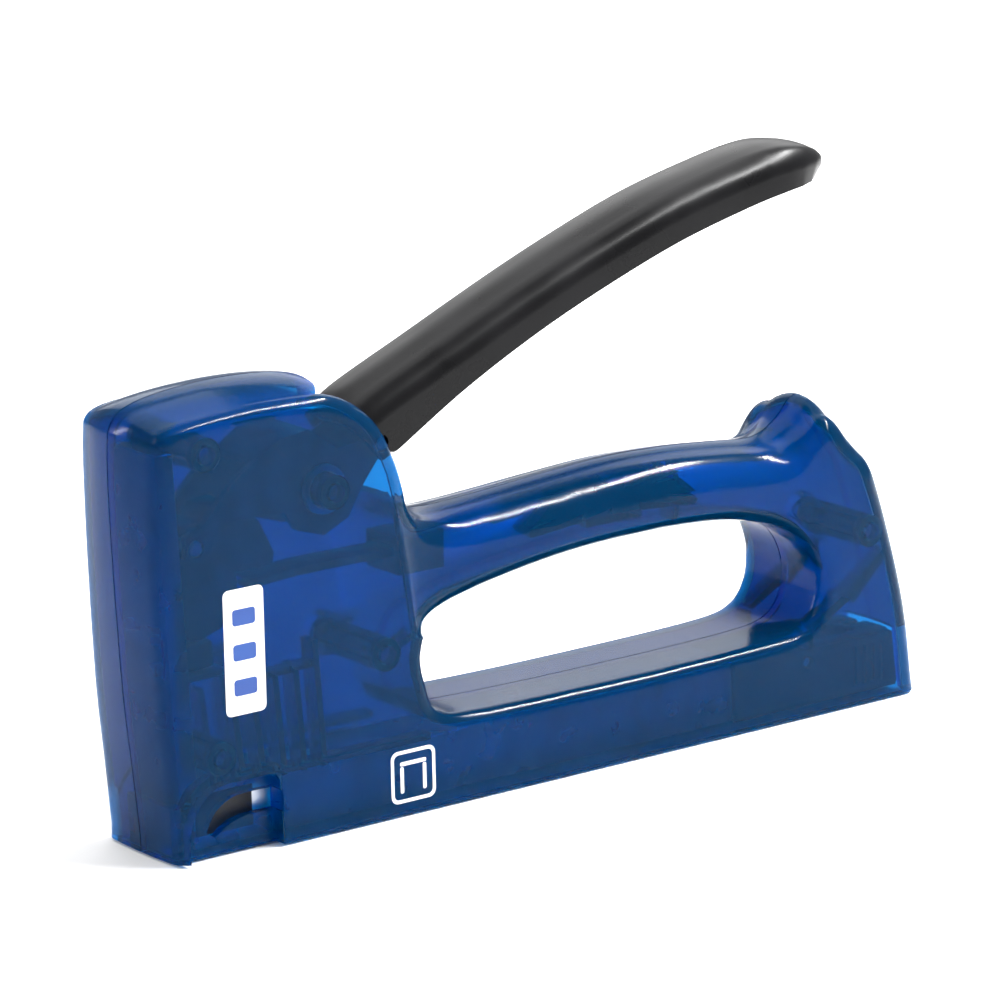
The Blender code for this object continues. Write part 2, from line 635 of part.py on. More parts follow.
def lever_core():
    """The steel fork: two cheeks from the lift pin round the pivot into the arm, joined by a web on top."""
    lift_x, lift_z = lift_point()
    eye = SLEEVE_RADIUS + RUNNING
    cheek = [
        (lift_x - 2.4, lift_z - 1.8), (lift_x + 0.6, lift_z - 2.8), (lift_x + 3.4, lift_z - 1.0),
        (PIVOT_X - 24.0, PIVOT_Z - 2.6), (PIVOT_X - 9.0, PIVOT_Z - 3.2),
        (PIVOT_X - 6.4, PIVOT_Z - 7.2), (PIVOT_X, PIVOT_Z - 9.2), (PIVOT_X + 5.8, PIVOT_Z - 6.6),
        (PIVOT_X + 9.2, PIVOT_Z - 1.0), (PIVOT_X + 16.0, PIVOT_Z + 7.4), (PIVOT_X + 34.0, PIVOT_Z + 18.0),
        (PIVOT_X + 34.6, PIVOT_Z + 20.6), (PIVOT_X + 30.0, PIVOT_Z + 18.6), (PIVOT_X + 8.0, PIVOT_Z + 7.8),
        (PIVOT_X + 3.6, PIVOT_Z + 7.4), (PIVOT_X - 3.0, PIVOT_Z + 12.2), (PIVOT_X - 10.0, PIVOT_Z + 11.2),
        (PIVOT_X - 20.0, PIVOT_Z + 5.0), (lift_x + 1.6, lift_z + 4.2), (lift_x - 2.4, lift_z + 2.6),
    ]
    half = CORE_WIDTH / 2
    bodies = prism(cheek, -half, half)
    inner = half - CORE_WALL
    web = [(PIVOT_X - 15.0, PIVOT_Z + 6.6), (PIVOT_X - 10.0, PIVOT_Z + 9.6), (PIVOT_X - 3.4, PIVOT_Z + 10.6),
           (PIVOT_X + 3.4, PIVOT_Z + 5.8), (PIVOT_X + 8.0, PIVOT_Z + 6.2), (PIVOT_X + 36.0, PIVOT_Z + 19.6)]
    hollow = web + [(PIVOT_X + 36.0, PIVOT_Z - 30.0), (lift_x - 8.0, PIVOT_Z - 30.0),
                    (lift_x - 8.0, PIVOT_Z + 30.0), (PIVOT_X - 15.0, PIVOT_Z + 30.0)]
    core = cut(bodies, prism(hollow, -inner, inner))
    core = cut(core, disc(PIVOT_X, PIVOT_Z, eye, -20, 20, 24))
    core = cut(core, disc(*CROSS_PIN, CROSS_PIN_RADIUS + GAP, -20, 20, 16))
    return cut(core, disc(lift_x, lift_z, LIFT_PIN_RADIUS + GAP, -20, 20, 16))


def pin_along_y(x, z, radius, half):
    """A plain pin across the tool with small chamfers."""
    bm = bmesh.new()
    chamfer = radius * 0.25
    profile = [(0.0, -half), (radius - chamfer, -half), (radius, -half + chamfer),
               (radius, half - chamfer), (radius - chamfer, half), (0.0, half)]
    line = [bm.verts.new((r, y, 0.0)) for r, y in profile]
    edges = [bm.edges.new(pair) for pair in zip(line, line[1:])]
    bmesh.ops.spin(bm, geom=line + edges, cent=(0, 0, 0), axis=(0, 1, 0), angle=2 * math.pi,
                   steps=16, use_merge=True)
    bmesh.ops.remove_doubles(bm, verts=bm.verts, dist=0.001)
    bmesh.ops.recalc_face_normals(bm, faces=bm.faces)
    bmesh.ops.translate(bm, vec=(x, 0, z), verts=bm.verts)
    return bm


def pivot_sleeve():
    """The steel bush on the pivot bosses that the lever's fork turns on."""
    half = CORE_WIDTH / 2 + 0.9
    sleeve = disc(PIVOT_X, PIVOT_Z, SLEEVE_RADIUS, -half, half)
    return cut(sleeve, disc(PIVOT_X, PIVOT_Z, SLEEVE_RADIUS - SLEEVE_WALL, -20, 20))


# ---------------------------------------------------------------- drive


def guide_channel():
    """The steel track at the front that the hammer and driver slide in, open to the rear."""
    half = GUIDE_WIDTH / 2
    back = GUIDE_X0 + SHEET
    channel = box(GUIDE_X0, GUIDE_X0 + GUIDE_DEPTH, -half, half, 0.5, GUIDE_HEIGHT)
    channel = cut(channel, box(back, 20, -half + SHEET, half - SHEET, -5, GUIDE_HEIGHT + 5))
    channel = cut(channel, box(back, 20, -20, 20, -5, TRACK_HEIGHT + GAP + 0.2))
    return cut(tilted(channel), disc(*BOSSES["front_bottom"], BOSS_RADIUS + GAP, -20, 20))


def nose_plate():
    """The hardened plate round the staple exit, at the bottom of the guide's front."""
    half = GUIDE_WIDTH / 2
    plate = tilted(box(NOSE_X0, NOSE_X0 + NOSE_THICKNESS, -half, half, -2.0, 10.0))
    return cut(plate, box(-20, 20, -20, 20, -20, 0.0))


def driver_blade():
    """The flat blade that drives the staple, hanging from the hammer."""
    half = BLADE_WIDTH / 2
    blade = box(BLADE_X0, BLADE_X0 + BLADE_THICKNESS, -half, half, 1.2, LIFT_PIN_HEIGHT + 2.5)
    blade = cut(blade, box(-5, 15, -2.3, 2.3, 49.4, 54.6))
    return tilted(blade)


def hammer_block():
    """The weight that carries the blade: a wedge with a slot for the lift pin and a notch for the spring."""
    back = HAMMER_X0
    half = HAMMER_WIDTH / 2
    reach = LIFT_PIN_RADIUS + 0.35
    crest = LIFT_PIN_HEIGHT + reach + 2.0
    wedge = [(back, 42.0), (back + 7.0, 40.4), (back + 11.6, 41.6), (back + 14.0, 44.4),
             (back + 24.0, 50.0), (back + 25.0, 54.0), (back + 22.0, LIFT_PIN_HEIGHT + 1.5), (back + 16.0, crest + 2.6),
             (back + 11.4, crest + 2.4), (back + 9.0, crest), (back, crest)]
    block = prism(wedge, -half, half)
    slot = box(LIFT_PIN_X - reach - 1.0, LIFT_PIN_X + reach + 3.0, -20, 20,
               LIFT_PIN_HEIGHT - reach, LIFT_PIN_HEIGHT + reach)
    block = cut(block, slot)
    notch = box(back + 16.0, back + 40.0, -20, 20,
                SPRING_HEIGHT + 1.0 - SPRING_THICKNESS / 2 - GAP, SPRING_HEIGHT + 1.0 + SPRING_THICKNESS / 2 + 2.4)
    block = cut(block, notch)
    hook = box(BLADE_X0, back + 2.0, -2.0, 2.0, 49.8, 54.2)
    block = join(block, hook)
    return tilted(block)


def power_spring():
    """The leaf that throws the hammer down, from its notch back to the anchor in the root of the grip."""
    front_x, front_z = tilted_point(SPRING_TIP_X, SPRING_HEIGHT + 1.0)
    anchor_x = HOLE_X0 + 2.4
    leaf = spline([(front_x, front_z), (front_x + 9.0, front_z + 0.6), (front_x + 20.0, front_z + 0.9),
                   (anchor_x - 6.0, front_z + 0.6), (anchor_x + 6.0, front_z + 0.8)], 3)
    half = SPRING_WIDTH / 2
    return prism(thick_line(leaf, SPRING_THICKNESS), -half, half)


def spring_anchor():
    """The block in the root of the grip that clamps the spring's rear end."""
    front_z = tilted_point(SPRING_TIP_X, SPRING_HEIGHT + 1.0)[1] + 0.75
    x0 = HOLE_X0 - 0.5
    half = SPRING_WIDTH / 2 + 2.0
    block = box(x0, x0 + 11.0, -half, half, front_z - 4.6, front_z + 3.0)
    gap = SPRING_THICKNESS / 2 + GAP
    return cut(block, box(x0 - 5, x0 + 9.4, -SPRING_WIDTH / 2 - GAP, SPRING_WIDTH / 2 + GAP,
                          front_z - gap - 0.1, front_z + gap + 0.1))


def hammer_bumper():
    """The rubber stop under the hammer."""
    half = HAMMER_WIDTH / 2
    return tilted(box(HAMMER_X0, HAMMER_X0 + 9.5, -half, half, 34.7, 40.0))


def bumper_bracket():
    """The steel step of the guide that carries the rubber stop."""
    half = GUIDE_WIDTH / 2 - SHEET - GAP
    return tilted(box(HAMMER_X0, HAMMER_X0 + 11.0, -half, half, 33.2, 34.4))


# ---------------------------------------------------------------- magazine


def magazine_track():
    """The fixed steel channel over the staples, from behind the guide to the pull piece."""
    x0, x1 = STRIP_X0, PULL_X0 - GAP
    track = box(x0, x1, -TRACK_HALF, TRACK_HALF, TRACK_FLOOR, TRACK_HEIGHT)
    inner = TRACK_HALF - SHEET
    track = cut(track, box(x0 - 5, x1 + 5, -inner, inner, -5, TRACK_HEIGHT - SHEET))
    return track


def staple_strip():
    """A stick of glued fine-wire staples, ribbed along its crown and legs."""
    pitch = 2.0
    half = STAPLE_CROWN / 2
    count = int(STRIP_LENGTH / pitch)
    rows = []
    for i in range(count):
        for inset, along in ((0.0, 0.0), (0.0, 0.72), (0.1, 0.8), (0.1, 0.92)):
            x = STRIP_X0 + (i + along) * pitch
            rows.append([
                (x, -half + inset, CROWN_Z - STAPLE_LEG), (x, -half + inset, CROWN_Z - inset),
                (x, half - inset, CROWN_Z - inset), (x, half - inset, CROWN_Z - STAPLE_LEG),
                (x, half - STAPLE_WIRE, CROWN_Z - STAPLE_LEG), (x, half - STAPLE_WIRE, CROWN_Z - STAPLE_WIRE),
                (x, -half + STAPLE_WIRE, CROWN_Z - STAPLE_WIRE), (x, -half + STAPLE_WIRE, CROWN_Z - STAPLE_LEG),
            ])
    return loft(rows)


def staple_rail():
    """The inner rail that the staples straddle; it slides out to the rear."""
    x0 = STRIP_X0
    x1 = PULL_X0 + 4.0
    half = STAPLE_CROWN / 2 - STAPLE_WIRE - GAP
    top = CROWN_Z - STAPLE_WIRE - GAP
    rail = box(x0, x1, -half, half, TRACK_FLOOR, top)
    inner = half - SHEET
    rail = cut(rail, box(x0 - 5, x1 + 5, -inner, inner, -5, top - SHEET))
    return rail


def pull_piece():
    """The black end piece that draws the rail, pusher and rod out of the base."""
    x0, x1 = PULL_X0, BODY_REAR - 2.6
    half = TRACK_HALF + 0.8
    top = TRACK_HEIGHT
    outline = [(x0, 0.3), (x1 - 0.5, 0.3), (x1, 1.6), (x1 - 1.0, top - 0.6), (x1 - 1.8, top), (x0, top)]
    piece = prism(outline, -half, half)
    rail_half = STAPLE_CROWN / 2 - STAPLE_WIRE
    rail_top = CROWN_Z - STAPLE_WIRE
    piece = cut(piece, box(x0 - 1, x0 + 4.0 + GAP, -rail_half, rail_half, -1, rail_top))
    grip = merged(*[box(x1 - 12.0 + 2.4 * i, x1 - 11.0 + 2.4 * i, side * half - 0.6, side * half + 0.6, 2.2, top - 2.0)
                    for i in range(4) for side in (-1, 1)])
    piece = cut(piece, grip)
    piece = cut(piece, rod(0.0, ROD_Z, ROD_RADIUS + GAP, x0 - 1, x0 + 16.0))
    latch_x, latch_z = LATCH_PIN
    piece = cut(piece, box(latch_x - 3.0, x1 + 5, -LATCH_HALF - GAP, LATCH_HALF + GAP, 5.0, top + 1))
    return cut(piece, disc(latch_x, latch_z, LATCH_PIN_RADIUS + GAP, -20, 20, 16))


def pusher_rod():
    """The rod that guides the pusher's spring, held in the pull piece."""
    return rod(0.0, ROD_Z, ROD_RADIUS, STRIP_X0 + 2.0, PULL_X0 + 15.6)


def pusher():
    """The saddle that slides on the rail and feeds the staples forward."""
    x0 = PUSHER_X
    x1 = x0 + PUSHER_LENGTH
    half = STAPLE_CROWN / 2
    saddle = box(x0, x1, -half, half, TRACK_FLOOR + 1.0, CROWN_Z)
    rail_half = half - STAPLE_WIRE
    saddle = cut(saddle, box(x0 - 5, x1 + 5, -rail_half, rail_half, -5, CROWN_Z - STAPLE_WIRE))
    return saddle


def pusher_slider():
    """The plug inside the rail that the spring presses on, bored for the rod."""
    x0 = PUSHER_X + 1.0
    half = STAPLE_CROWN / 2 - STAPLE_WIRE - GAP - SHEET - GAP
    plug = box(x0, x0 + PUSHER_LENGTH - 2.0, -half, half, TRACK_FLOOR + 1.2,
               CROWN_Z - STAPLE_WIRE - SHEET - 2 * GAP)
    return cut(plug, rod(0.0, ROD_Z, ROD_RADIUS + GAP, x0 - 5, x0 + 20))


def coil(x0, x1, y, z, radius, wire, turns, steps_per_turn=10, sides=5):
    """A round wire coil along X with plain ends."""
    rows = []
    total = turns * steps_per_turn
    for i in range(total + 1):
        a = 2 * math.pi * i / steps_per_turn
        x = x0 + (x1 - x0) * i / total
        outward = Vector((0.0, math.cos(a), math.sin(a)))
        centre = Vector((x, y, z)) + outward * radius
        ring = []
        for k in range(sides):
            b = 2 * math.pi * k / sides
            ring.append(centre + outward * (wire * math.cos(b)) + Vector((wire * math.sin(b), 0, 0)))
        rows.append(ring)
    return loft(rows)


def pusher_spring():
    """The long light spring that presses the pusher forward."""
    x0 = PUSHER_X + PUSHER_LENGTH - 0.2
    return coil(x0 + 0.8, PULL_X0 - 0.8, 0.0, ROD_Z, ROD_RADIUS + 0.75, 0.3, MAGAZINE_SPRING_TURNS)


def magazine_latch():
    """The sprung hook that holds the pull piece in the base, pressed at its rear end."""
    px, pz = LATCH_PIN
    end = BODY_REAR - 1.0
    outline = [(px - 2.2, pz - 1.6), (px - 1.2, pz - 2.2), (end - 0.4, pz - 2.2), (end, pz - 1.6),
               (end, pz + 1.6), (end - 0.8, pz + 2.2), (px + 17.0, pz + 2.0), (px + 16.6, pz + 3.2),
               (px + 15.0, pz + 3.2), (px + 12.6, pz + 2.0), (px - 1.4, pz + 2.0), (px - 2.2, pz + 1.2)]
    latch = prism(outline, -LATCH_HALF, LATCH_HALF)
    return cut(latch, disc(px, pz, LATCH_PIN_RADIUS + RUNNING, -20, 20, 16))


# ---------------------------------------------------------------- assembly


def axis_empty(name, x, z):
    """An empty on a joint's axis."""
    made = bpy.data.objects.new(name, None)
    made.location = (x * MM, 0.0, z * MM)
    made.empty_display_size = 0.01
    bpy.context.scene.collection.objects.link(made)
    return made


def hang(child, parent):
    """Parents an object and keeps it where it is."""
    child.parent = parent
    child.matrix_parent_inverse = Matrix.Translation(-parent.location)


def main():
    for old in list(bpy.data.objects):
        bpy.data.objects.remove(old)
    finish = make_materials()
    blue, steel, zinc = finish["blue_plastic"], finish["dark_steel"], finish["zinc_steel"]
    black = finish["black_plastic"]

    add_object("left_shell", shell_half(False), blue)
    add_object("right_shell", shell_half(True), blue)
    for name, (x, z) in BOSSES.items():
        add_object("shell_screw_" + name, shell_screw(x, z), zinc)
    add_object("pivot_sleeve", pivot_sleeve(), zinc)
    add_object("guide_channel", guide_channel(), zinc)
    add_object("nose_plate", nose_plate(), zinc)
    add_object("bumper_bracket", bumper_bracket(), zinc)
    add_object("hammer_bumper", hammer_bumper(), finish["rubber"])
    add_object("spring_anchor", spring_anchor(), steel)
    add_object("power_spring", power_spring(), steel)
    add_object("magazine_track", magazine_track(), zinc)

    lever_axis = axis_empty("lever_axis", PIVOT_X, PIVOT_Z)
    lift_x, lift_z = lift_point()
    lever_pieces = (
        add_object("lever_arm", lever_arm(), finish["black_lever"]),
        add_object("lever_core", lever_core(), steel),
        add_object("lever_cross_pin", pin_along_y(*CROSS_PIN, CROSS_PIN_RADIUS, LEVER_WIDTH / 2 - 0.6), zinc),
        add_object("lift_pin", pin_along_y(lift_x, lift_z, LIFT_PIN_RADIUS, CORE_WIDTH / 2 + 0.3), zinc),
    )
    hammer_axis = axis_empty("hammer_axis", 0.0, 40.0)
    hammer_pieces = (
        add_object("hammer_block", hammer_block(), steel),
        add_object("driver_blade", driver_blade(), zinc),
    )
    magazine_axis = axis_empty("magazine_axis", PULL_X0, ROD_Z)
    magazine_pieces = (
        add_object("staple_rail", staple_rail(), zinc),
        add_object("staple_strip", staple_strip(), finish["staple_wire"]),
        add_object("pull_piece", pull_piece(), black),
        add_object("pusher_rod", pusher_rod(), zinc),
        add_object("latch_pin", pin_along_y(*LATCH_PIN, LATCH_PIN_RADIUS, TRACK_HALF), zinc),
        add_object("pusher_spring", pusher_spring(), zinc),
    )
    pusher_axis = axis_empty("pusher_axis", PUSHER_X, ROD_Z)
    pusher_pieces = (
        add_object("pusher", pusher(), zinc),
        add_object("pusher_slider", pusher_slider(), black),
    )
    latch_axis = axis_empty("latch_axis", *LATCH_PIN)
    latch_pieces = (add_object("magazine_latch", magazine_latch(), black),)
    groups = (
        (lever_axis, lever_pieces), (hammer_axis, hammer_pieces), (magazine_axis, magazine_pieces),
        (pusher_axis, pusher_pieces), (latch_axis, latch_pieces),
    )
    for axis, pieces in groups:
        for piece in pieces:
            hang(piece, axis)


main()
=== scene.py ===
"""Hand staple gun with a translucent body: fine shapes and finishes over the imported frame.

Frame: +X runs from the nose to the rear, +Y is the tool's right side, +Z is up, in metres. The shapes
below are worked out in millimetres and put in place in metres.
"""

import json
import logging
import math
from dataclasses import dataclass, field
from enum import Enum
from typing import Iterable, Sequence

import bmesh
import bpy
from mathutils import Matrix, Vector

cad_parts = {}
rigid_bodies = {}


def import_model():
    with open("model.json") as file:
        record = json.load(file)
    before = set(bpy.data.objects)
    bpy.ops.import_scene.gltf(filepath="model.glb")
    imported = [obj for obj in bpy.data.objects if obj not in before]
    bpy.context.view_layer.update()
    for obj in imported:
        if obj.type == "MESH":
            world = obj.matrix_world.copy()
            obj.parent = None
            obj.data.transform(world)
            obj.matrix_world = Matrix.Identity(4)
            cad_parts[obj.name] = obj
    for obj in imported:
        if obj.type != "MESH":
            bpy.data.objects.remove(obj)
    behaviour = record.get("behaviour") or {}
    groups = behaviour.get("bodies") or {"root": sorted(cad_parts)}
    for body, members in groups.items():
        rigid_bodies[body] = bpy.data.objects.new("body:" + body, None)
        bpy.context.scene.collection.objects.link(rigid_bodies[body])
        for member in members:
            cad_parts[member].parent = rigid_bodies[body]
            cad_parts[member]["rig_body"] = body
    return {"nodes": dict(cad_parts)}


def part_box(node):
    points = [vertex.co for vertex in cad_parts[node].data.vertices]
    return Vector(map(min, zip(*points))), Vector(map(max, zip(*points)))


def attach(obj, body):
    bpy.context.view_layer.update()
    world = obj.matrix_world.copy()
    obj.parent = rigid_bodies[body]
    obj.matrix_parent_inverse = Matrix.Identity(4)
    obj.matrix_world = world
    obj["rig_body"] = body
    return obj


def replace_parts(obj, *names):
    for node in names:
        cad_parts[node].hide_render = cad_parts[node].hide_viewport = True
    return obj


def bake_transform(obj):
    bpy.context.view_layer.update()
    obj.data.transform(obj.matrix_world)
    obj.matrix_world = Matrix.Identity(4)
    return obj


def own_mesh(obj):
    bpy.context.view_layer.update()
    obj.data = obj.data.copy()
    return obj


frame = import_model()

MM = 0.001
WELD = 0.0005
CAD_WELD = 0.004
ROUND_SIDES = 40
CORNER_STEPS = 5
RECESS_STEPS = 12
CLOUD_LOW, CLOUD_HIGH = 0.35, 0.65
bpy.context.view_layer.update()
LOG = logging.getLogger("staple_gun")

Point = tuple[float, float]
Stop = tuple[float, Sequence[float]]


class Side(Enum):
    """A half of the body, by the sign of its Y."""

    LEFT = -1
    RIGHT = 1


class Join(Enum):
    """What a Boolean does with its second body."""

    CUT = "DIFFERENCE"
    ADD = "UNION"
    KEEP = "INTERSECT"


# ---------------------------------------------------------------- finishes


class NodeBoard:
    """A material's node tree with short ways to add and link its nodes."""

    def __init__(self, name: str) -> None:
        """Starts a material that holds only a Principled shader.

        Args:
            name: the material's name.
        """
        self.material = bpy.data.materials.new(name)
        self.material.use_nodes = True
        self.tree = self.material.node_tree
        self.shader = self.tree.nodes["Principled BSDF"]
        self.output = self.tree.nodes["Material Output"]

    def add(self, kind: str, **settings: object) -> bpy.types.Node:
        """Adds a node.

        Args:
            kind: the node's class name without "ShaderNode".
            settings: attributes of the node, or input values by name with spaces as underscores.

        Returns:
            The new node.
        """
        node = self.tree.nodes.new("ShaderNode" + kind)
        for key, value in settings.items():
            if hasattr(node, key):
                setattr(node, key, value)
            else:
                node.inputs[key.replace("_", " ")].default_value = value
        return node

    def link(self, source: bpy.types.NodeSocket, target: bpy.types.NodeSocket) -> None:
        """Joins an output to an input.

        Args:
            source: the output.
            target: the input.
        """
        self.tree.links.new(source, target)

    def place(self, stretch: Sequence[float] = (1.0, 1.0, 1.0)) -> bpy.types.NodeSocket:
        """Object coordinates through a Mapping node.

        Args:
            stretch: the pattern's scale along each axis.

        Returns:
            The mapped vector socket.
        """
        where = self.add("TexCoord")
        mapping = self.add("Mapping")
        mapping.inputs["Scale"].default_value = tuple(stretch)
        self.link(where.outputs["Object"], mapping.inputs["Vector"])
        return mapping.outputs["Vector"]

    def noise(self, vector: bpy.types.NodeSocket, scale: float, detail: float = 4.0) -> bpy.types.NodeSocket:
        """A noise pattern.

        Args:
            vector: where it is read.
            scale: cells per metre.
            detail: octaves.

        Returns:
            The factor socket.
        """
        node = self.add("TexNoise", Scale=scale, Detail=detail)
        self.link(vector, node.inputs["Vector"])
        return node.outputs["Fac"]

    def spread(self, factor: bpy.types.NodeSocket, low: float, high: float) -> bpy.types.NodeSocket:
        """A factor stretched over a range of values.

        Args:
            factor: the incoming factor.
            low: the value where the factor is CLOUD_LOW.
            high: the value where it is CLOUD_HIGH.

        Returns:
            The result socket.
        """
        node = self.add("MapRange")
        ends = {"From Min": CLOUD_LOW, "From Max": CLOUD_HIGH, "To Min": low, "To Max": high}
        for key, value in ends.items():
            node.inputs[key].default_value = value
        self.link(factor, node.inputs["Value"])
        return node.outputs["Result"]

    def tints(self, factor: bpy.types.NodeSocket, stops: Sequence[Stop]) -> bpy.types.NodeSocket:
        """A colour ramp.

        Args:
            factor: the incoming factor.
            stops: positions with their colours.

        Returns:
            The colour socket.
        """
        ramp = self.add("ValToRGB")
        elements = ramp.color_ramp.elements
        while len(elements) < len(stops):
            elements.new(0.5)
        for element, (position, colour) in zip(elements, stops):
            element.position = position
            element.color = (*colour, 1.0)
        self.link(factor, ramp.inputs["Fac"])
        return ramp.outputs["Color"]

    def relief(self, height: bpy.types.NodeSocket, strength: float, distance: float) -> None:
        """Bump on the shader's normal.

        Args:
            height: the height pattern.
            strength: the bump's strength.
            distance: its depth in metres.
        """
        bump = self.add("Bump", Strength=strength, Distance=distance)
        self.link(height, bump.inputs["Height"])
        self.link(bump.outputs["Normal"], self.shader.inputs["Normal"])


@dataclass(frozen=True)
class TintedPlastic:
    """Glossy moulded plastic that light passes through and that darkens with depth."""

    name: str
    colour: tuple[float, float, float]
    depth_colour: tuple[float, float, float]
    depth_density: float
    smooth: float
    rough: float
    clearness: float = 0.94
    refraction: float = 1.17
    shade_share: float = 0.86

    def build(self) -> bpy.types.Material:
        """Makes the material.

        Returns:
            The material.
        """
        board = NodeBoard(self.name)
        flow = board.noise(board.place(), 45.0, 3.0)
        grain = board.noise(board.place(), 1500.0, 2.0)
        shade = tuple(part * self.shade_share for part in self.colour)
        board.link(board.tints(flow, [(0.3, shade), (0.7, self.colour)]), board.shader.inputs["Base Color"])
        board.link(board.spread(flow, self.smooth, self.rough), board.shader.inputs["Roughness"])
        board.shader.inputs["Transmission Weight"].default_value = self.clearness
        board.shader.inputs["IOR"].default_value = self.refraction
        board.relief(grain, 0.12, 0.00012)
        depth = board.add("VolumeAbsorption")
        depth.inputs["Color"].default_value = (*self.depth_colour, 1.0)
        depth.inputs["Density"].default_value = self.depth_density
        board.link(depth.outputs["Volume"], board.output.inputs["Volume"])
        return board.material


@dataclass(frozen=True)
class Metal:
    """Worked metal with fine lines along one direction and a little tarnish."""

    name: str
    colour: tuple[float, float, float]
    dull: tuple[float, float, float]
    smooth: float
    rough: float
    lines: tuple[float, float, float] = (60.0, 2500.0, 2500.0)

    def build(self) -> bpy.types.Material:
        """Makes the material.

        Returns:
            The material.
        """
        board = NodeBoard(self.name)
        lines = board.noise(board.place(self.lines), 1.0, 6.0)
        cloud = board.noise(board.place(), 130.0, 5.0)
        shade = board.tints(cloud, [(0.3, self.dull), (0.62, self.colour)])
        board.link(shade, board.shader.inputs["Base Color"])
        board.link(board.spread(cloud, self.rough, self.smooth), board.shader.inputs["Roughness"])
        board.shader.inputs["Metallic"].default_value = 1.0
        board.relief(lines, 0.2, 0.00004)
        return board.material


@dataclass(frozen=True)
class SatinPaint:
    """Even satin paint with a very fine skin."""

    name: str
    colour: tuple[float, float, float]
    light: tuple[float, float, float]
    smooth: float
    rough: float
    grain: float = 2600.0
    gloss: float = 0.5

    def build(self) -> bpy.types.Material:
        """Makes the material.

        Returns:
            The material.
        """
        board = NodeBoard(self.name)
        cloud = board.noise(board.place(), 60.0, 5.0)
        skin = board.noise(board.place(), self.grain, 2.0)
        shade = board.tints(cloud, [(0.35, self.colour), (0.75, self.light)])
        board.link(shade, board.shader.inputs["Base Color"])
        board.link(board.spread(cloud, self.smooth, self.rough), board.shader.inputs["Roughness"])
        board.shader.inputs["Specular IOR Level"].default_value = self.gloss
        board.relief(skin, 0.15, 0.00006)
        return board.material


BLUE = TintedPlastic("translucent_blue", (0.0, 0.31, 0.93), (0.0, 0.84, 0.85), 2600.0, 0.1, 0.16)
LEVER_BLACK = SatinPaint("satin_black", (0.004, 0.004, 0.0045), (0.007, 0.007, 0.008), 0.26, 0.34, gloss=0.13)
MOULDED_BLACK = SatinPaint("moulded_black", (0.013, 0.013, 0.014), (0.026, 0.026, 0.028), 0.42, 0.6, 1400.0)
RUBBER = SatinPaint("soft_rubber", (0.02, 0.02, 0.02), (0.05, 0.05, 0.05), 0.7, 0.9, 900.0)
INK = SatinPaint("white_ink", (0.82, 0.83, 0.85), (0.93, 0.93, 0.94), 0.35, 0.5, 900.0)
BLUE_INK = SatinPaint("blue_ink", (0.01, 0.05, 0.26), (0.015, 0.08, 0.33), 0.35, 0.5, 900.0)
DARK_STEEL = Metal("dark_steel", (0.13, 0.13, 0.14), (0.06, 0.06, 0.065), 0.3, 0.45)
ZINC = Metal("zinc_plate", (0.62, 0.63, 0.65), (0.46, 0.47, 0.49), 0.24, 0.4)
WIRE = Metal("bright_wire", (0.72, 0.73, 0.75), (0.55, 0.56, 0.58), 0.2, 0.34, (2500.0, 60.0, 60.0))
FLOOR = SatinPaint("pale_floor", (0.86, 0.86, 0.86), (0.9, 0.9, 0.9), 0.8, 0.95, 300.0)


# ---------------------------------------------------------------- mesh work


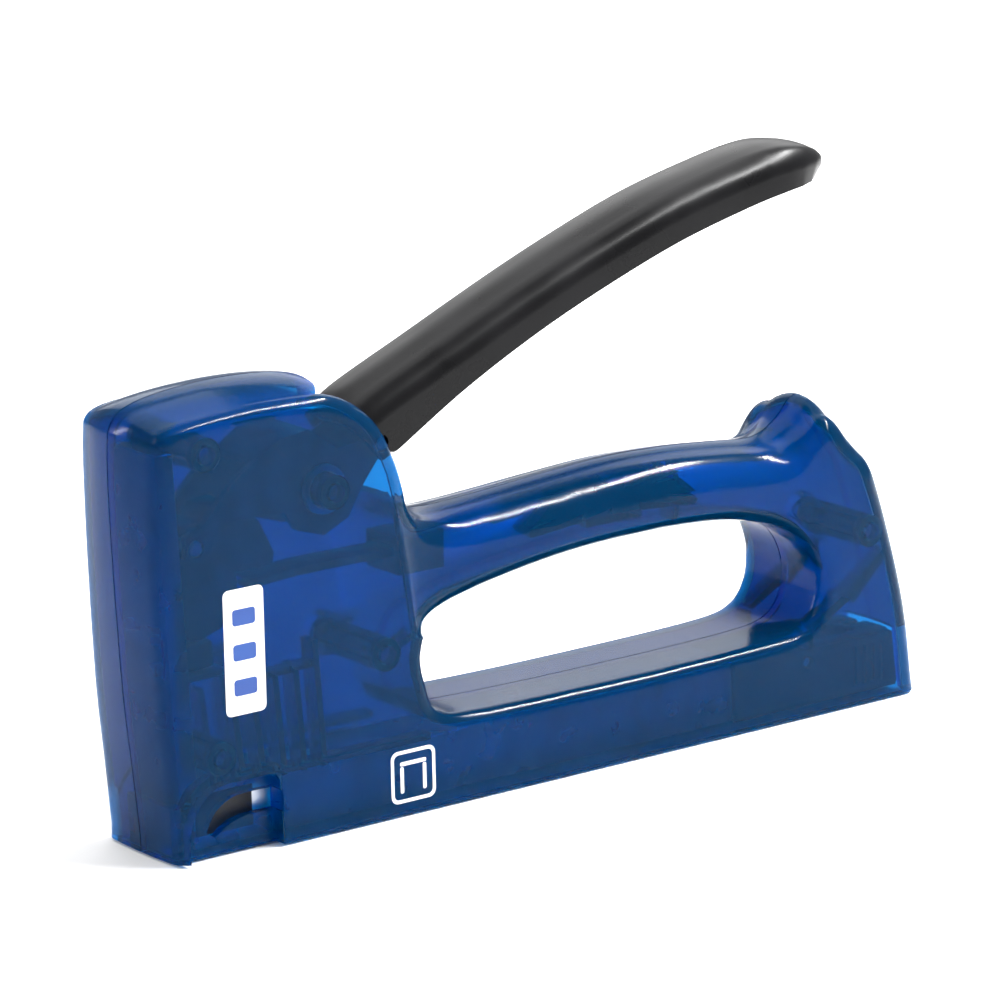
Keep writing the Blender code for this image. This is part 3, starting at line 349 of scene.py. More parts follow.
class Mould:
    """Mesh steps that the pieces share. Every bmesh here is in millimetres."""

    @staticmethod
    def piece(name: str, bm: bmesh.types.BMesh, finish: bpy.types.Material | None,
              sharp: float = 34.0) -> bpy.types.Object:
        """Turns a bmesh in millimetres into an object in metres.

        Args:
            name: the object's name.
            bm: the body, used up.
            finish: its material.
            sharp: the angle in degrees past which an edge stays sharp.

        Returns:
            The new object.
        """
        bmesh.ops.scale(bm, vec=(MM, MM, MM), verts=bm.verts)
        mesh = bpy.data.meshes.new(name)
        bm.to_mesh(mesh)
        bm.free()
        mesh.shade_smooth()
        mesh.set_sharp_from_angle(angle=math.radians(sharp))
        made = bpy.data.objects.new(name, mesh)
        bpy.context.scene.collection.objects.link(made)
        if finish is not None:
            mesh.materials.append(finish)
        return made

    @staticmethod
    def shaded_evenly(piece: bpy.types.Object) -> None:
        """Weighs a piece's normals by face, so that long flat faces shade evenly.

        Args:
            piece: the piece.
        """
        piece.modifiers.new("even_shading", "WEIGHTED_NORMAL").keep_sharp = True

    @staticmethod
    def boolean(bm: bmesh.types.BMesh, tool: bmesh.types.BMesh, how: Join) -> bmesh.types.BMesh:
        """The Boolean of two bodies.

        Args:
            bm: the first body, used up.
            tool: the second body, used up.
            how: what is done with the second.

        Returns:
            The resulting body.
        """
        for given in (bm, tool):
            bmesh.ops.triangulate(given, faces=given.faces)
        target = Mould.piece("boolean_target", bm, None)
        cutter = Mould.piece("boolean_tool", tool, None)
        step = target.modifiers.new("step", "BOOLEAN")
        step.object = cutter
        step.operation = how.value
        step.use_self = True
        graph = bpy.context.evaluated_depsgraph_get()
        result = bmesh.new()
        result.from_mesh(target.evaluated_get(graph).to_mesh())
        bmesh.ops.scale(result, vec=(1 / MM,) * 3, verts=result.verts)
        bmesh.ops.remove_doubles(result, verts=result.verts, dist=WELD)
        bmesh.ops.dissolve_degenerate(result, edges=result.edges, dist=WELD)
        for spent in (target, cutter):
            mesh = spent.data
            bpy.data.objects.remove(spent)
            bpy.data.meshes.remove(mesh)
        return result

    @staticmethod
    def gather(parts: Iterable[bmesh.types.BMesh]) -> bmesh.types.BMesh:
        """One bmesh that holds the bodies of several, which are used up.

        Args:
            parts: the bodies.

        Returns:
            The bmesh.
        """
        whole = bmesh.new()
        for part in parts:
            mesh = bpy.data.meshes.new("part")
            part.to_mesh(mesh)
            part.free()
            whole.from_mesh(mesh)
            bpy.data.meshes.remove(mesh)
        return whole

    @staticmethod
    def block(low: Sequence[float], high: Sequence[float]) -> bmesh.types.BMesh:
        """A block between two corners.

        Args:
            low: the least corner.
            high: the greatest corner.

        Returns:
            The closed body.
        """
        bm = bmesh.new()
        bmesh.ops.create_cube(bm, size=1.0)
        bmesh.ops.scale(bm, vec=[b - a for a, b in zip(low, high)], verts=bm.verts)
        bmesh.ops.translate(bm, vec=[(a + b) / 2 for a, b in zip(low, high)], verts=bm.verts)
        return bm

    @staticmethod
    def slab(outline: Sequence[Point], y0: float, y1: float) -> bmesh.types.BMesh:
        """An outline of (x, z) points pushed out along Y.

        Args:
            outline: the points in order.
            y0: where it starts.
            y1: where it ends.

        Returns:
            The closed body.
        """
        bm = bmesh.new()
        verts = [bm.verts.new((x, y0, z)) for x, z in outline]
        made = bmesh.ops.contextual_create(bm, geom=verts)
        pushed = bmesh.ops.extrude_face_region(bm, geom=made["faces"])
        moved = [item for item in pushed["geom"] if isinstance(item, bmesh.types.BMVert)]
        bmesh.ops.translate(bm, vec=(0, y1 - y0, 0), verts=moved)
        bmesh.ops.recalc_face_normals(bm, faces=bm.faces)
        return bm

    @staticmethod
    def disc(x: float, z: float, radius: float, y0: float, y1: float) -> bmesh.types.BMesh:
        """A round bar along Y.

        Args:
            x: the middle along X.
            z: the middle along Z.
            radius: its radius.
            y0: where it starts.
            y1: where it ends.

        Returns:
            The closed body.
        """
        bm = bmesh.new()
        bmesh.ops.create_cone(bm, cap_ends=True, segments=ROUND_SIDES, radius1=radius, radius2=radius,
                              depth=y1 - y0)
        bmesh.ops.rotate(bm, matrix=Matrix.Rotation(math.pi / 2, 3, "X"), verts=bm.verts)
        bmesh.ops.translate(bm, vec=(x, (y0 + y1) / 2, z), verts=bm.verts)
        return bm

    @staticmethod
    def bridge(rows: Sequence[Sequence[Sequence[float]]], cyclic: bool) -> bmesh.types.BMesh:
        """A skin bridged from loop to loop.

        Args:
            rows: closed loops of points, one after another.
            cyclic: whether the last loop joins the first; if not, the ends are capped.

        Returns:
            The closed body.
        """
        bm = bmesh.new()
        loops = []
        for row in rows:
            verts = [bm.verts.new(point) for point in row]
            loops.append([bm.edges.new((verts[i - 1], verts[i])) for i in range(len(verts))])
        pairs = list(zip(loops, loops[1:]))
        if cyclic:
            pairs.append((loops[-1], loops[0]))
        for first, second in pairs:
            bmesh.ops.bridge_loops(bm, edges=first + second)
        if not cyclic:
            bmesh.ops.contextual_create(bm, geom=loops[0])
            bmesh.ops.contextual_create(bm, geom=loops[-1])
        bmesh.ops.recalc_face_normals(bm, faces=bm.faces)
        return bm

    @staticmethod
    def mirrored(bm: bmesh.types.BMesh) -> bmesh.types.BMesh:
        """The same body on the other side of Y = 0.

        Args:
            bm: the body.

        Returns:
            The same body, mirrored.
        """
        bmesh.ops.scale(bm, vec=(1, -1, 1), verts=bm.verts)
        bmesh.ops.reverse_faces(bm, faces=bm.faces)
        return bm

    @staticmethod
    def softened(bm: bmesh.types.BMesh, width: float, segments: int = 2,
                 angle: float = 30.0) -> bmesh.types.BMesh:
        """Rounds the sharp edges of a body.

        Args:
            bm: the body.
            width: the rounding's width.
            segments: steps round it.
            angle: the least angle in degrees of an edge that is rounded.

        Returns:
            The same body.
        """
        edges = [edge for edge in bm.edges
                 if len(edge.link_faces) == 2 and edge.calc_face_angle(0.0) > math.radians(angle)]
        bmesh.ops.bevel(bm, geom=edges, offset=width, offset_type="OFFSET", segments=segments, profile=0.5,
                        affect="EDGES", clamp_overlap=True, material=-1)
        return bm


def spline(points: Sequence[Sequence[float]], steps: int, closed: bool = False) -> list[tuple[float, ...]]:
    """A Catmull-Rom curve through points of any length.

    Args:
        points: the points.
        steps: steps in each span.
        closed: whether it returns to its start.

    Returns:
        The points of the curve.
    """
    count = len(points)
    curve = []
    for i in range(count if closed else count - 1):
        if closed:
            around = [points[(i + k) % count] for k in (-1, 0, 1, 2)]
        else:
            around = [points[min(max(i + k, 0), count - 1)] for k in (-1, 0, 1, 2)]
        for step in range(steps):
            t = step / steps
            curve.append(tuple(
                0.5 * (2 * b + (c - a) * t + (2 * a - 5 * b + 4 * c - d) * t**2
                       + (3 * b - a - 3 * c + d) * t**3)
                for a, b, c, d in zip(*around)
            ))
    if not closed:
        curve.append(tuple(points[-1]))
    return curve


def band(points: Sequence[Point], width: float) -> list[Point]:
    """The outline of a band of even width along an open line.

    Args:
        points: the line.
        width: the band's width.

    Returns:
        The outline's points in order.
    """
    left, right = [], []
    for i, (x, z) in enumerate(points):
        ahead = Vector(points[min(i + 1, len(points) - 1)])
        behind = Vector(points[max(i - 1, 0)])
        along = (ahead - behind).normalized() * width / 2
        left.append((x - along.y, z + along.x))
        right.append((x + along.y, z - along.x))
    return left + right[::-1]


def round_box(x0: float, x1: float, z0: float, z1: float, radius: float) -> list[Point]:
    """A rectangle with round corners, as an outline.

    Args:
        x0: its left edge.
        x1: its right edge.
        z0: its lower edge.
        z1: its upper edge.
        radius: its corners' radius.

    Returns:
        The outline's points in order.
    """
    outline = []
    corners = ((x1 - radius, z1 - radius, 0), (x0 + radius, z1 - radius, 1),
               (x0 + radius, z0 + radius, 2), (x1 - radius, z0 + radius, 3))
    for x, z, quarter in corners:
        for step in range(CORNER_STEPS + 1):
            turn = math.pi / 2 * (quarter + step / CORNER_STEPS)
            outline.append((x + radius * math.cos(turn), z + radius * math.sin(turn)))
    return outline


# ---------------------------------------------------------------- body


@dataclass
class BodyForm:
    """The body's sizes in millimetres, and its ring-shaped form round the finger hole."""

    width: float = 27.6
    head_height: float = 90.0
    head_length: float = 54.3
    hole_length: float = 100.5
    hole_height: float = 27.1
    base_height: float = 16.6
    grip_thickness: float = 15.6
    grip_width: float = 22.4
    rear_length: float = 26.7
    wall: float = 2.4
    seam: float = 0.15
    span_steps: int = 4
    arc_steps: int = 7
    outer_window: float = 3.0
    inner_window: float = 1.5

    @property
    def half(self) -> float:
        """Half of the width.

        Returns:
            Half of the width.
        """
        return self.width / 2

    @property
    def hole_end(self) -> float:
        """The finger hole's rear end along X.

        Returns:
            Its X.
        """
        return self.head_length + self.hole_length

    @property
    def rear(self) -> float:
        """The body's rear end along X.

        Returns:
            Its X.
        """
        return self.hole_end + self.rear_length

    @property
    def hole_top(self) -> float:
        """The finger hole's top.

        Returns:
            Its Z.
        """
        return self.base_height + self.hole_height

    @property
    def grip_top(self) -> float:
        """The grip's top.

        Returns:
            Its Z.
        """
        return self.hole_top + self.grip_thickness

    def stations(self) -> tuple[tuple[float, ...], ...]:
        """Key stations round the body.

        Returns:
            Rows of outer x, z, finger-hole x, z, half width, edge radius, crown, rim radius, and how far the
            outer edge's rounding aims at the finger hole.
        """
        top, grip, floor = self.head_height, self.grip_top, self.base_height
        under = -12.0
        x0, x1, rear = self.head_length, self.hole_end, self.rear
        hand, half = self.grip_width / 2, self.half
        hole_top = self.hole_top
        mid = floor + self.hole_height * 0.45

        def wall(share: float) -> float:
            """A height on the front wall of the finger hole.

            Args:
                share: how far up the wall, from 0 to 1.

            Returns:
                The height.
            """
            return floor + 6.0 + share * (self.hole_height - 15.0)

        return (
            (4.0, under, x0 + 8.0, floor + 0.9, half, 4.0, 0.4, 3.0, 0.0),
            (-3.6, -4.0, x0 + 4.6, floor + 2.0, half, 4.0, 0.4, 3.0, 0.0),
            (-4.1, 3.0, x0 + 3.1, floor + 3.2, half, 4.0, 0.4, 3.0, 0.0),
            (-5.3, 16.5, x0 + 1.9, floor + 5.0, half, 4.0, 0.5, 3.0, 0.0),
            (-6.7, 31.0, x0 + 0.9, wall(0.22), half, 4.0, 0.7, 3.0, 0.0),
            (-7.8, top - 37.0, x0 + 0.3, wall(0.40), half, 4.2, 1.0, 3.0, 0.0),
            (-8.3, top - 20.0, x0 + 0.1, wall(0.52), half, 4.2, 1.3, 3.0, 0.0),
            (-8.2, top - 9.6, x0, wall(0.60), half, 4.0, 1.5, 3.0, 0.0),
            (-7.3, top - 5.2, x0, wall(0.64), half, 3.6, 1.7, 3.0, 0.0),
            (-3.6, top - 2.3, x0, wall(0.67), half, 3.2, 2.2, 3.0, 0.0),
            (5.0, top - 0.6, x0 + 0.1, wall(0.71), half, 3.0, 2.8, 3.0, 0.0),
            (16.0, top, x0 + 0.2, wall(0.75), half, 3.0, 3.0, 3.0, 0.0),
            (27.0, top - 0.5, x0 + 0.3, wall(0.79), half, 3.2, 2.8, 3.0, 0.0),
            (35.0, top - 2.0, x0 + 0.4, wall(0.83), half, 3.4, 2.2, 3.0, 0.0),
            (x0 - 12.8, top - 5.6, x0 + 0.5, wall(0.86), half, 3.6, 1.6, 3.0, 0.0),
            (x0 - 7.3, top - 11.4, x0 + 0.6, wall(0.89), half, 3.6, 1.2, 3.0, 0.0),
            (x0 - 3.7, top - 19.0, x0 + 0.7, wall(0.92), half, 3.6, 1.0, 3.0, 0.0),
            (x0 - 2.1, (top + grip) / 2 - 9.6, x0 + 0.9, wall(0.96), half, 3.6, 0.8, 3.0, 0.0),
            (x0 - 0.6, grip + 1.8, x0 + 1.3, hole_top - 8.9, 13.0, 4.0, 0.8, 3.6, 0.0),
            (x0 + 2.8, grip - 1.2, x0 + 3.0, hole_top - 7.3, 11.8, 5.0, 0.8, 4.6, 0.0),
            (x0 + 8.5, grip - 2.4, x0 + 7.4, hole_top - 5.8, hand, 6.0, 0.8, 5.6, 0.0),
            (x0 + 16.0, grip - 2.3, x0 + 14.2, hole_top - 4.2, hand, 6.6, 0.8, 6.2, 0.0),
            (x0 + 26.0, grip - 1.7, x0 + 24.6, hole_top - 2.4, hand, 7.0, 0.8, 6.4, 0.0),
            (x0 + 41.0, grip - 0.7, x0 + 40.0, hole_top - 0.6, hand, 7.2, 0.8, 6.6, 0.0),
            ((x0 + x1) / 2 + 5.5, grip, (x0 + x1) / 2 + 5.0, hole_top, hand, 7.4, 0.8, 6.6, 0.0),
            (x1 - 29.8, grip - 0.4, x1 - 30.4, hole_top - 0.2, hand, 7.4, 0.9, 6.6, 0.0),
            (x1 - 18.0, grip - 1.4, x1 - 19.4, hole_top - 1.1, hand, 7.2, 1.0, 6.2, 0.0),
            (x1 - 9.8, grip - 2.2, x1 - 12.4, hole_top - 2.5, 11.3, 6.8, 1.2, 5.4, 0.3),
            (x1 - 4.8, grip - 1.4, x1 - 8.0, hole_top - 3.8, 11.7, 6.4, 1.6, 4.8, 0.7),
            (x1 - 0.8, grip + 1.1, x1 - 4.9, hole_top - 5.5, 12.2, 6.0, 2.2, 4.2, 1.0),
            (x1 + 2.2, grip + 4.2, x1 - 3.2, hole_top - 7.1, 12.6, 5.6, 2.6, 3.8, 1.0),
            (x1 + 4.4, grip + 5.1, x1 - 2.0, hole_top - 8.7, 12.9, 5.4, 2.8, 3.4, 1.0),
            (x1 + 7.0, grip + 3.5, x1 - 1.0, hole_top - 10.6, 13.1, 5.4, 2.6, 3.0, 1.0),
            (x1 + 9.8, grip - 0.5, x1 - 0.4, mid + 2.6, 13.3, 5.2, 2.2, 3.0, 1.0),
            (x1 + 12.4, grip - 4.0, x1, mid + 1.2, 13.5, 5.0, 1.8, 3.0, 1.0),
            (x1 + 14.8, grip - 7.2, x1 + 0.2, mid, 13.7, 4.6, 1.4, 3.0, 0.8),
            (x1 + 16.8, grip - 11.8, x1 + 0.2, mid - 1.3, half, 4.2, 1.2, 3.0, 0.5),
            (rear - 6.2, grip * 0.59, x1 + 0.1, mid - 3.3, half, 4.0, 1.0, 3.0, 0.2),
            (rear - 2.2, grip * 0.32, x1 - 0.6, floor + 6.4, half, 4.0, 1.0, 3.0, 0.0),
            (rear - 0.3, 4.0, x1 - 2.0, floor + 4.0, half, 4.0, 1.0, 3.0, 0.0),
            (rear, -4.0, x1 - 4.2, floor + 2.2, half, 4.0, 1.0, 3.0, 0.0),
            (rear - 7.6, under, x1 - 8.3, floor + 0.9, half, 4.0, 0.4, 3.0, 0.0),
            (x1 - 8.0, under, x1 - 17.0, floor + 0.3, half, 4.0, 0.4, 3.0, 0.0),
            (x1 - 34.0, under, x1 - 36.0, floor, half, 4.0, 0.4, 3.0, 0.0),
            (x0 + 36.0, under, x0 + 36.0, floor, half, 4.0, 0.4, 3.0, 0.0),
            (x0 + 12.0, under, x0 + 16.0, floor + 0.4, half, 4.0, 0.4, 3.0, 0.0),
        )

    @staticmethod
    def inward(points: Sequence[Point], window: float, sign: int) -> tuple[list[Vector], list[Vector]]:
        """Directions into the material along a closed outline.

        Args:
            points: the outline.
            window: the arc length over which directions are averaged.
            sign: 1 for the outer outline, -1 for the hole's.

        Returns:
            The averaged directions and the plain normals.
        """
        count = len(points)
        spots = [Vector(point) for point in points]
        normals = []
        for i in range(count):
            along = spots[(i + 1) % count] - spots[i - 1]
            normals.append(Vector((along.y, -along.x)).normalized() * sign)
        averaged = []
        for i in range(count):
            total = normals[i].copy()
            for way in (1, -1):
                far, k = 0.0, i
                while far < window:
                    near = spots[k]
                    k = (k + way) % count
                    far += (spots[k] - near).length
                    total += normals[k] * max(0.0, 1.0 - far / window)
            averaged.append(total.normalized())
        return averaged, normals

    def edge(self, origin: Vector, inward: Vector, normal: Vector, half: float, radius: float, crown: float,
             offset: float, seam: float) -> list[tuple[Vector, float]]:
        """Points from the seam round one long edge of the body to its side face.

        Args:
            origin: the outline's point at the seam.
            inward: the direction into the material.
            normal: the outline's own inward normal.
            half: half of the width here.
            radius: the edge's radius.
            crown: how far the face falls from the seam to the edge.
            offset: the depth below the outer surface.
            seam: Y at the seam.

        Returns:
            Points of the outline's plane with their Y.
        """
        reach = offset / max(inward.dot(normal), 0.5)
        radius = max(radius - offset, 0.4)
        flat = half - offset - radius
        points = []
        for share in (0.0, 0.25, 0.5, 0.75, 1.0):
            across = seam if share == 0.0 else -flat * share
            points.append((origin + inward * (reach + crown * share**2), across))
        for step in range(1, self.arc_steps + 1):
            angle = math.pi / 2 * step / self.arc_steps
            deep = reach + crown + radius * (1 - math.cos(angle))
            points.append((origin + inward * deep, -(flat + radius * math.sin(angle))))
        return points

    def half_ring(self, offset: float, seam: float) -> bmesh.types.BMesh:
        """The left half of the body as one ring-shaped solid.

        Args:
            offset: how far it is sunk below the outer surface.
            seam: Y at the seam.

        Returns:
            The closed body.
        """
        keys = spline(self.stations(), self.span_steps, closed=True)
        outer_in, outer_normal = self.inward([key[0:2] for key in keys], self.outer_window, 1)
        hole_in, hole_normal = self.inward([key[2:4] for key in keys], self.inner_window, -1)
        rows = []
        for i, (ox, oz, hx, hz, half, edge, crown, rim, aim) in enumerate(keys):
            outer, hole = Vector((ox, oz)), Vector((hx, hz))
            section = hole - outer
            inward = outer_in[i].lerp(section.normalized(), aim).normalized()
            room = min(1.0, 0.96 * (section.length - 2 * offset) / (edge + crown + rim))
            front = self.edge(outer, inward, outer_normal[i], half, edge * room, crown * room, offset, seam)
            back = self.edge(hole, hole_in[i], hole_normal[i], half, rim * room, 0.0, offset, seam)
            rows.append([(spot.x, y, spot.y) for spot, y in front + back[::-1]])
        return Mould.bridge(rows, cyclic=True)


@dataclass
class Shells:
    """The two halves of the body with their ribs, bosses, staple window and screw holes."""

    form: BodyForm = field(default_factory=BodyForm)
    rib: float = 1.4
    boss_radius: float = 3.4
    boss_bore: float = 1.8
    screw_radius: float = 1.2
    screw_head_radius: float = 2.7
    screw_head_depth: float = 4.6
    gap: float = 0.3
    fork_half: float = 7.2
    track_half: float = 7.3
    track_height: float = 12.4
    lever_half: float = 9.7
    # corners of a thin dark sheet behind the staple window: painted shade in the window's opening
    window_shade_low: tuple[float, float, float] = (3.4, -7.76, 3.2)
    window_shade_high: tuple[float, float, float] = (16.6, -7.46, 11.4)

    @property
    def bosses(self) -> tuple[Point, ...]:
        """The screw bosses' middles.

        Returns:
            Points of (x, z).
        """
        form = self.form
        return ((6.0, form.head_height - 11.2), (35.3, form.head_height - 23.4),
                (form.head_length - 8.0, form.base_height + 15.7), (7.4, 19.0),
                (form.hole_end + 14.2, form.base_height + 19.1))

    def stem(self, points: Sequence[Point], y_end: float, width: float) -> bmesh.types.BMesh:
        """A rib that stands on the left wall and ends at a depth of y_end.

        Args:
            points: the rib's line.
            y_end: where it ends.
            width: its thickness.

        Returns:
            The closed body.
        """
        return Mould.slab(band(points, width), -self.form.half, -y_end)

    def ribs(self) -> list[bmesh.types.BMesh]:
        """Ribs that stiffen the left shell and carry the mechanism.

        Returns:
            The ribs, as closed bodies.
        """
        form, made = self.form, []
        foot = self.track_height + 1.6
        for i, top in enumerate((22.0, 27.0, 27.0, 33.0, 34.5, 38.5)):
            x = 7.6 + 4.7 * i
            made.append(self.stem([(x, foot - 1.0), (x - 1.6, top)], 7.4, 1.3))
        made.append(self.stem([(12.0, foot), (form.head_length + 2.0, foot)], 8.2, self.rib))
        made.append(self.stem([(15.5, 33.4), (30.0, 34.0)], 8.6, self.rib))
        x, z = self.bosses[2]
        made.append(self.stem([(x, z), (form.head_length + 1.0, z + 4.0)], 8.0, self.rib))
        truss = [(form.head_length + 29.0 + 7.0 * i, form.grip_top - (3.4 if i % 2 else 10.2))
                 for i in range(7)]
        made.append(self.stem(truss, 3.6, 1.3))
        post = form.head_length + 66.0
        made.append(self.stem([(post, form.hole_top + 1.4), (post + 0.4, form.grip_top - 2.0)], 4.0, 1.3))
        x1, z = form.hole_end, self.bosses[4][1]
        rear_rib = [(x1 - 1.0, 17.5), (x1 + 9.0, 21.6), (form.rear - 6.0, z - 3.0)]
        made.append(self.stem(rear_rib, 8.0, self.rib))
        made.append(self.stem([(x1 - 2.0, 16.5), (x1 - 2.0, self.track_height + 1.0)], 8.0, self.rib))
        return made

    @staticmethod
    def recess(inset: float) -> list[Point]:
        """The arched recess at the nose, seen from the side.

        Args:
            inset: how far the outline is drawn in.

        Returns:
            The outline's points in order.
        """
        x0, x1, top = -1.4 + inset, 19.2 - inset, 14.6 - inset
        bend = [(x0 + 9.0 * (1 - math.cos(a)), 5.0 + (top - 5.0) * math.sin(a))
                for a in (math.pi / 2 * k / RECESS_STEPS for k in range(RECESS_STEPS + 1))]
        corner = [(x1 - 2.2 + 2.2 * math.sin(a), top - 2.2 * (1 - math.cos(a)))
                  for a in (math.pi / 2 * k / CORNER_STEPS for k in range(CORNER_STEPS + 1))]
        return [(x0, -2.0)] + bend + corner + [(x1 + 0.6, -2.0)]

    @staticmethod
    def window() -> list[Point]:
        """The slot in the recess floor: an arch over a ledge.

        Returns:
            The outline's points in order.
        """
        upper = spline([(3.8, 4.8), (5.6, 8.0), (8.4, 10.1), (12.0, 11.0), (19.9, 10.9)], 4)
        lower = spline([(19.9, 6.5), (12.6, 6.4), (8.8, 5.4), (5.9, 3.4)], 4)
        return [*upper, *lower]

    def lever_slot(self) -> bmesh.types.BMesh:
        """The space that the lever sweeps through the back of the head.

        Returns:
            The cutter.
        """
        form = self.form
        length, height, grip = form.head_length, form.head_height, form.grip_top
        outline = [(length - 27.0, height - 5.6), (length - 19.6, height - 2.8),
                   (length - 17.0, height + 4.0),
                   (length + 8.0, height + 4.0), (length + 8.0, grip + 3.4), (length - 3.6, grip + 2.6),
                   (length - 8.0, grip + 2.6)]
        half = self.lever_half + 0.7
        return Mould.slab(outline, -half, half)

    def base_cutter(self) -> bmesh.types.BMesh:
        """Everything below the base's level.

        Returns:
            The cutter.
        """
        return Mould.block((-30, -40, -40), (self.form.rear + 30, 5, 0))

    def blank(self) -> bmesh.types.BMesh:
        """The left half with everything that both halves share, and no screw holes.

        Returns:
            The closed body.
        """
        form, half = self.form, self.form.half
        features = self.ribs()
        features += [Mould.disc(x, z, self.boss_radius, -half, -form.seam) for x, z in self.bosses]
        features.append(Mould.slab(self.recess(-1.6), -half, -(half - 4.6)))
        inside = Mould.boolean(Mould.gather(features), form.half_ring(form.wall / 2, 1.0), Join.KEEP)
        shell = Mould.boolean(form.half_ring(0.0, -form.seam), form.half_ring(form.wall, 1.0), Join.CUT)
        shell = Mould.boolean(shell, inside, Join.ADD)
        mouth = Mould.block((form.rear - 12, -(self.track_half + 1.2), -5),
                            (form.rear + 5, 5, self.track_height + 0.6))
        cuts = [Mould.slab(self.recess(0.0), -half - 5, -(half - 2.8)),
                Mould.slab(self.window(), -half - 4, -(half - 6.0)), self.lever_slot(), mouth,
                self.base_cutter()]
        return Mould.boolean(shell, Mould.gather(cuts), Join.CUT)

    def truss(self, finish: bpy.types.Material) -> bpy.types.Object:
        """A dark zigzag in the grip: painted shade that stands in for the dark look of the grip's stiffening
        rib through the blue wall.

        Args:
            finish: its material.

        Returns:
            The piece.
        """
        form = self.form
        line = [(form.head_length + 29.0 + 3.5 * i, form.grip_top - (4.4 if i % 2 else 8.8))
                for i in range(13)]
        # painted shade: an opaque dark zigzag set inside the translucent grip
        piece = Mould.piece("grip_truss_shade", Mould.slab(band(line, 1.3), -8.2, -7.2), finish)
        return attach(piece, "housing")

    def boss_shade_rings(self, finish: bpy.types.Material) -> bpy.types.Object:
        """Dark rings inside the left bosses round their bores: painted shade for the bosses' tube walls,
        which look dark through the blue shell.

        Args:
            finish: their material.

        Returns:
            The piece.
        """
        half = self.form.half
        rings = Mould.gather([Mould.disc(x, z, self.boss_radius - 0.15, -half + 2.6, -half + 4.2)
                              for x, z in self.bosses])
        bores = Mould.gather([Mould.disc(x, z, self.boss_bore + 0.15, -half + 1.0, -half + 6.0)
                              for x, z in self.bosses])
        # painted shade: dark rings set inside the blue bosses
        piece = Mould.piece("boss_rings_painted_shade", Mould.boolean(rings, bores, Join.CUT), finish)
        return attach(piece, "housing")

    def build(self, finish: bpy.types.Material, dark: bpy.types.Material) -> list[bpy.types.Object]:
        """Makes both halves of the body, with dark pieces of painted shade: a thin sheet behind the staple
        window, a zigzag in the grip and rings in the bosses.

        Args:
            finish: the halves' material.
            dark: the material of the painted shade pieces.

        Returns:
            The pieces.
        """
        half = self.form.half
        blank = self.blank()
        left_tools = [Mould.disc(x, z, self.boss_bore, -half + 1.7, 5) for x, z in self.bosses]
        shoulders = [Mould.disc(x, z, self.boss_radius + 1.0, -half + 1.0, -(self.fork_half + 1.4))
                     for x, z in self.bosses]
        right_tools = []
        for x, z in self.bosses:
            right_tools.append(Mould.disc(x, z, self.screw_radius + self.gap, -half - 5, 5))
            right_tools.append(Mould.disc(x, z, self.screw_head_radius + self.gap, -half - 4,
                                          -(half - self.screw_head_depth)))
        left = Mould.boolean(blank.copy(), Mould.gather(left_tools), Join.CUT)
        right = Mould.boolean(blank, Mould.gather(shoulders), Join.ADD)
        right = Mould.mirrored(Mould.boolean(right, Mould.gather(right_tools), Join.CUT))
        made = [self.truss(dark), self.boss_shade_rings(dark)]
        # painted shade: a thin dark sheet that makes the staple window's opening look black
        window_shade = Mould.softened(Mould.block(self.window_shade_low, self.window_shade_high), 0.05)
        made.append(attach(Mould.piece("nose_window_shade", window_shade, dark), "housing"))
        for side, shell in ((Side.LEFT, left), (Side.RIGHT, right)):
            piece = Mould.piece(f"{side.name.lower()}_shell_fine", shell, finish, 28.0)
            Mould.shaded_evenly(piece)
            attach(piece, "housing")
            made.append(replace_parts(piece, f"{side.name.lower()}_shell"))
        return made


@dataclass
class Prints:
    """Plain white marks on the body's side: a blank panel and a staple pictogram."""

    half: float = 13.8
    depth: float = 0.05
    lift: float = 0.02

    def mark(self, name: str, outline: Sequence[Point], hollow: Sequence[Point] | None,
             finish: bpy.types.Material, side: Side, level: int = 0) -> bpy.types.Object:
        """A printed mark on a side face.

        Args:
            name: the piece's name.
            outline: its outline seen from the side.
            hollow: an outline left open in it, or None.
            finish: its ink.
            side: the half that it is on.
            level: how many layers lie under it.

        Returns:
            The piece.
        """
        near = self.half + self.lift + level * (self.depth + self.lift)
        bm = Mould.slab(outline, -near - self.depth, -near)
        if hollow is not None:
            bm = Mould.boolean(bm, Mould.slab(hollow, -near - 1.0, -near + 1.0), Join.CUT)
        if side is Side.RIGHT:
            bm = Mould.mirrored(bm)
        piece = Mould.piece(f"{name}_{side.name.lower()}", bm, finish)
        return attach(piece, "housing")

    def build(self, white: bpy.types.Material, blue: bpy.types.Material) -> list[bpy.types.Object]:
        """Makes every mark on both sides.

        Args:
            white: the white ink.
            blue: the ink of the bars on the panel.

        Returns:
            The pieces.
        """
        made = []
        for side in Side:
            made.append(self.mark("panel", round_box(7.4, 16.6, 27.6, 52.4, 1.2), None, white, side))
            for i in range(3):
                z = 31.4 + 6.9 * i
                bar = round_box(9.4, 14.6, z, z + 3.2, 0.6)
                made.append(self.mark(f"panel_bar_{i}", bar, None, blue, side, 1))
            made.append(self.mark("frame", round_box(45.2, 55.8, 2.4, 13.0, 1.6),
                                  round_box(45.9, 55.1, 3.1, 12.3, 1.1), white, side))
            bars = ((47.4, 53.6, 9.9, 10.7), (47.4, 48.2, 4.4, 9.7), (52.8, 53.6, 4.4, 9.7))
            for i, edges in enumerate(bars):
                made.append(self.mark(f"staple_sign_{i}", round_box(*edges, 0.3), None, white, side))
        return made


# ---------------------------------------------------------------- lever


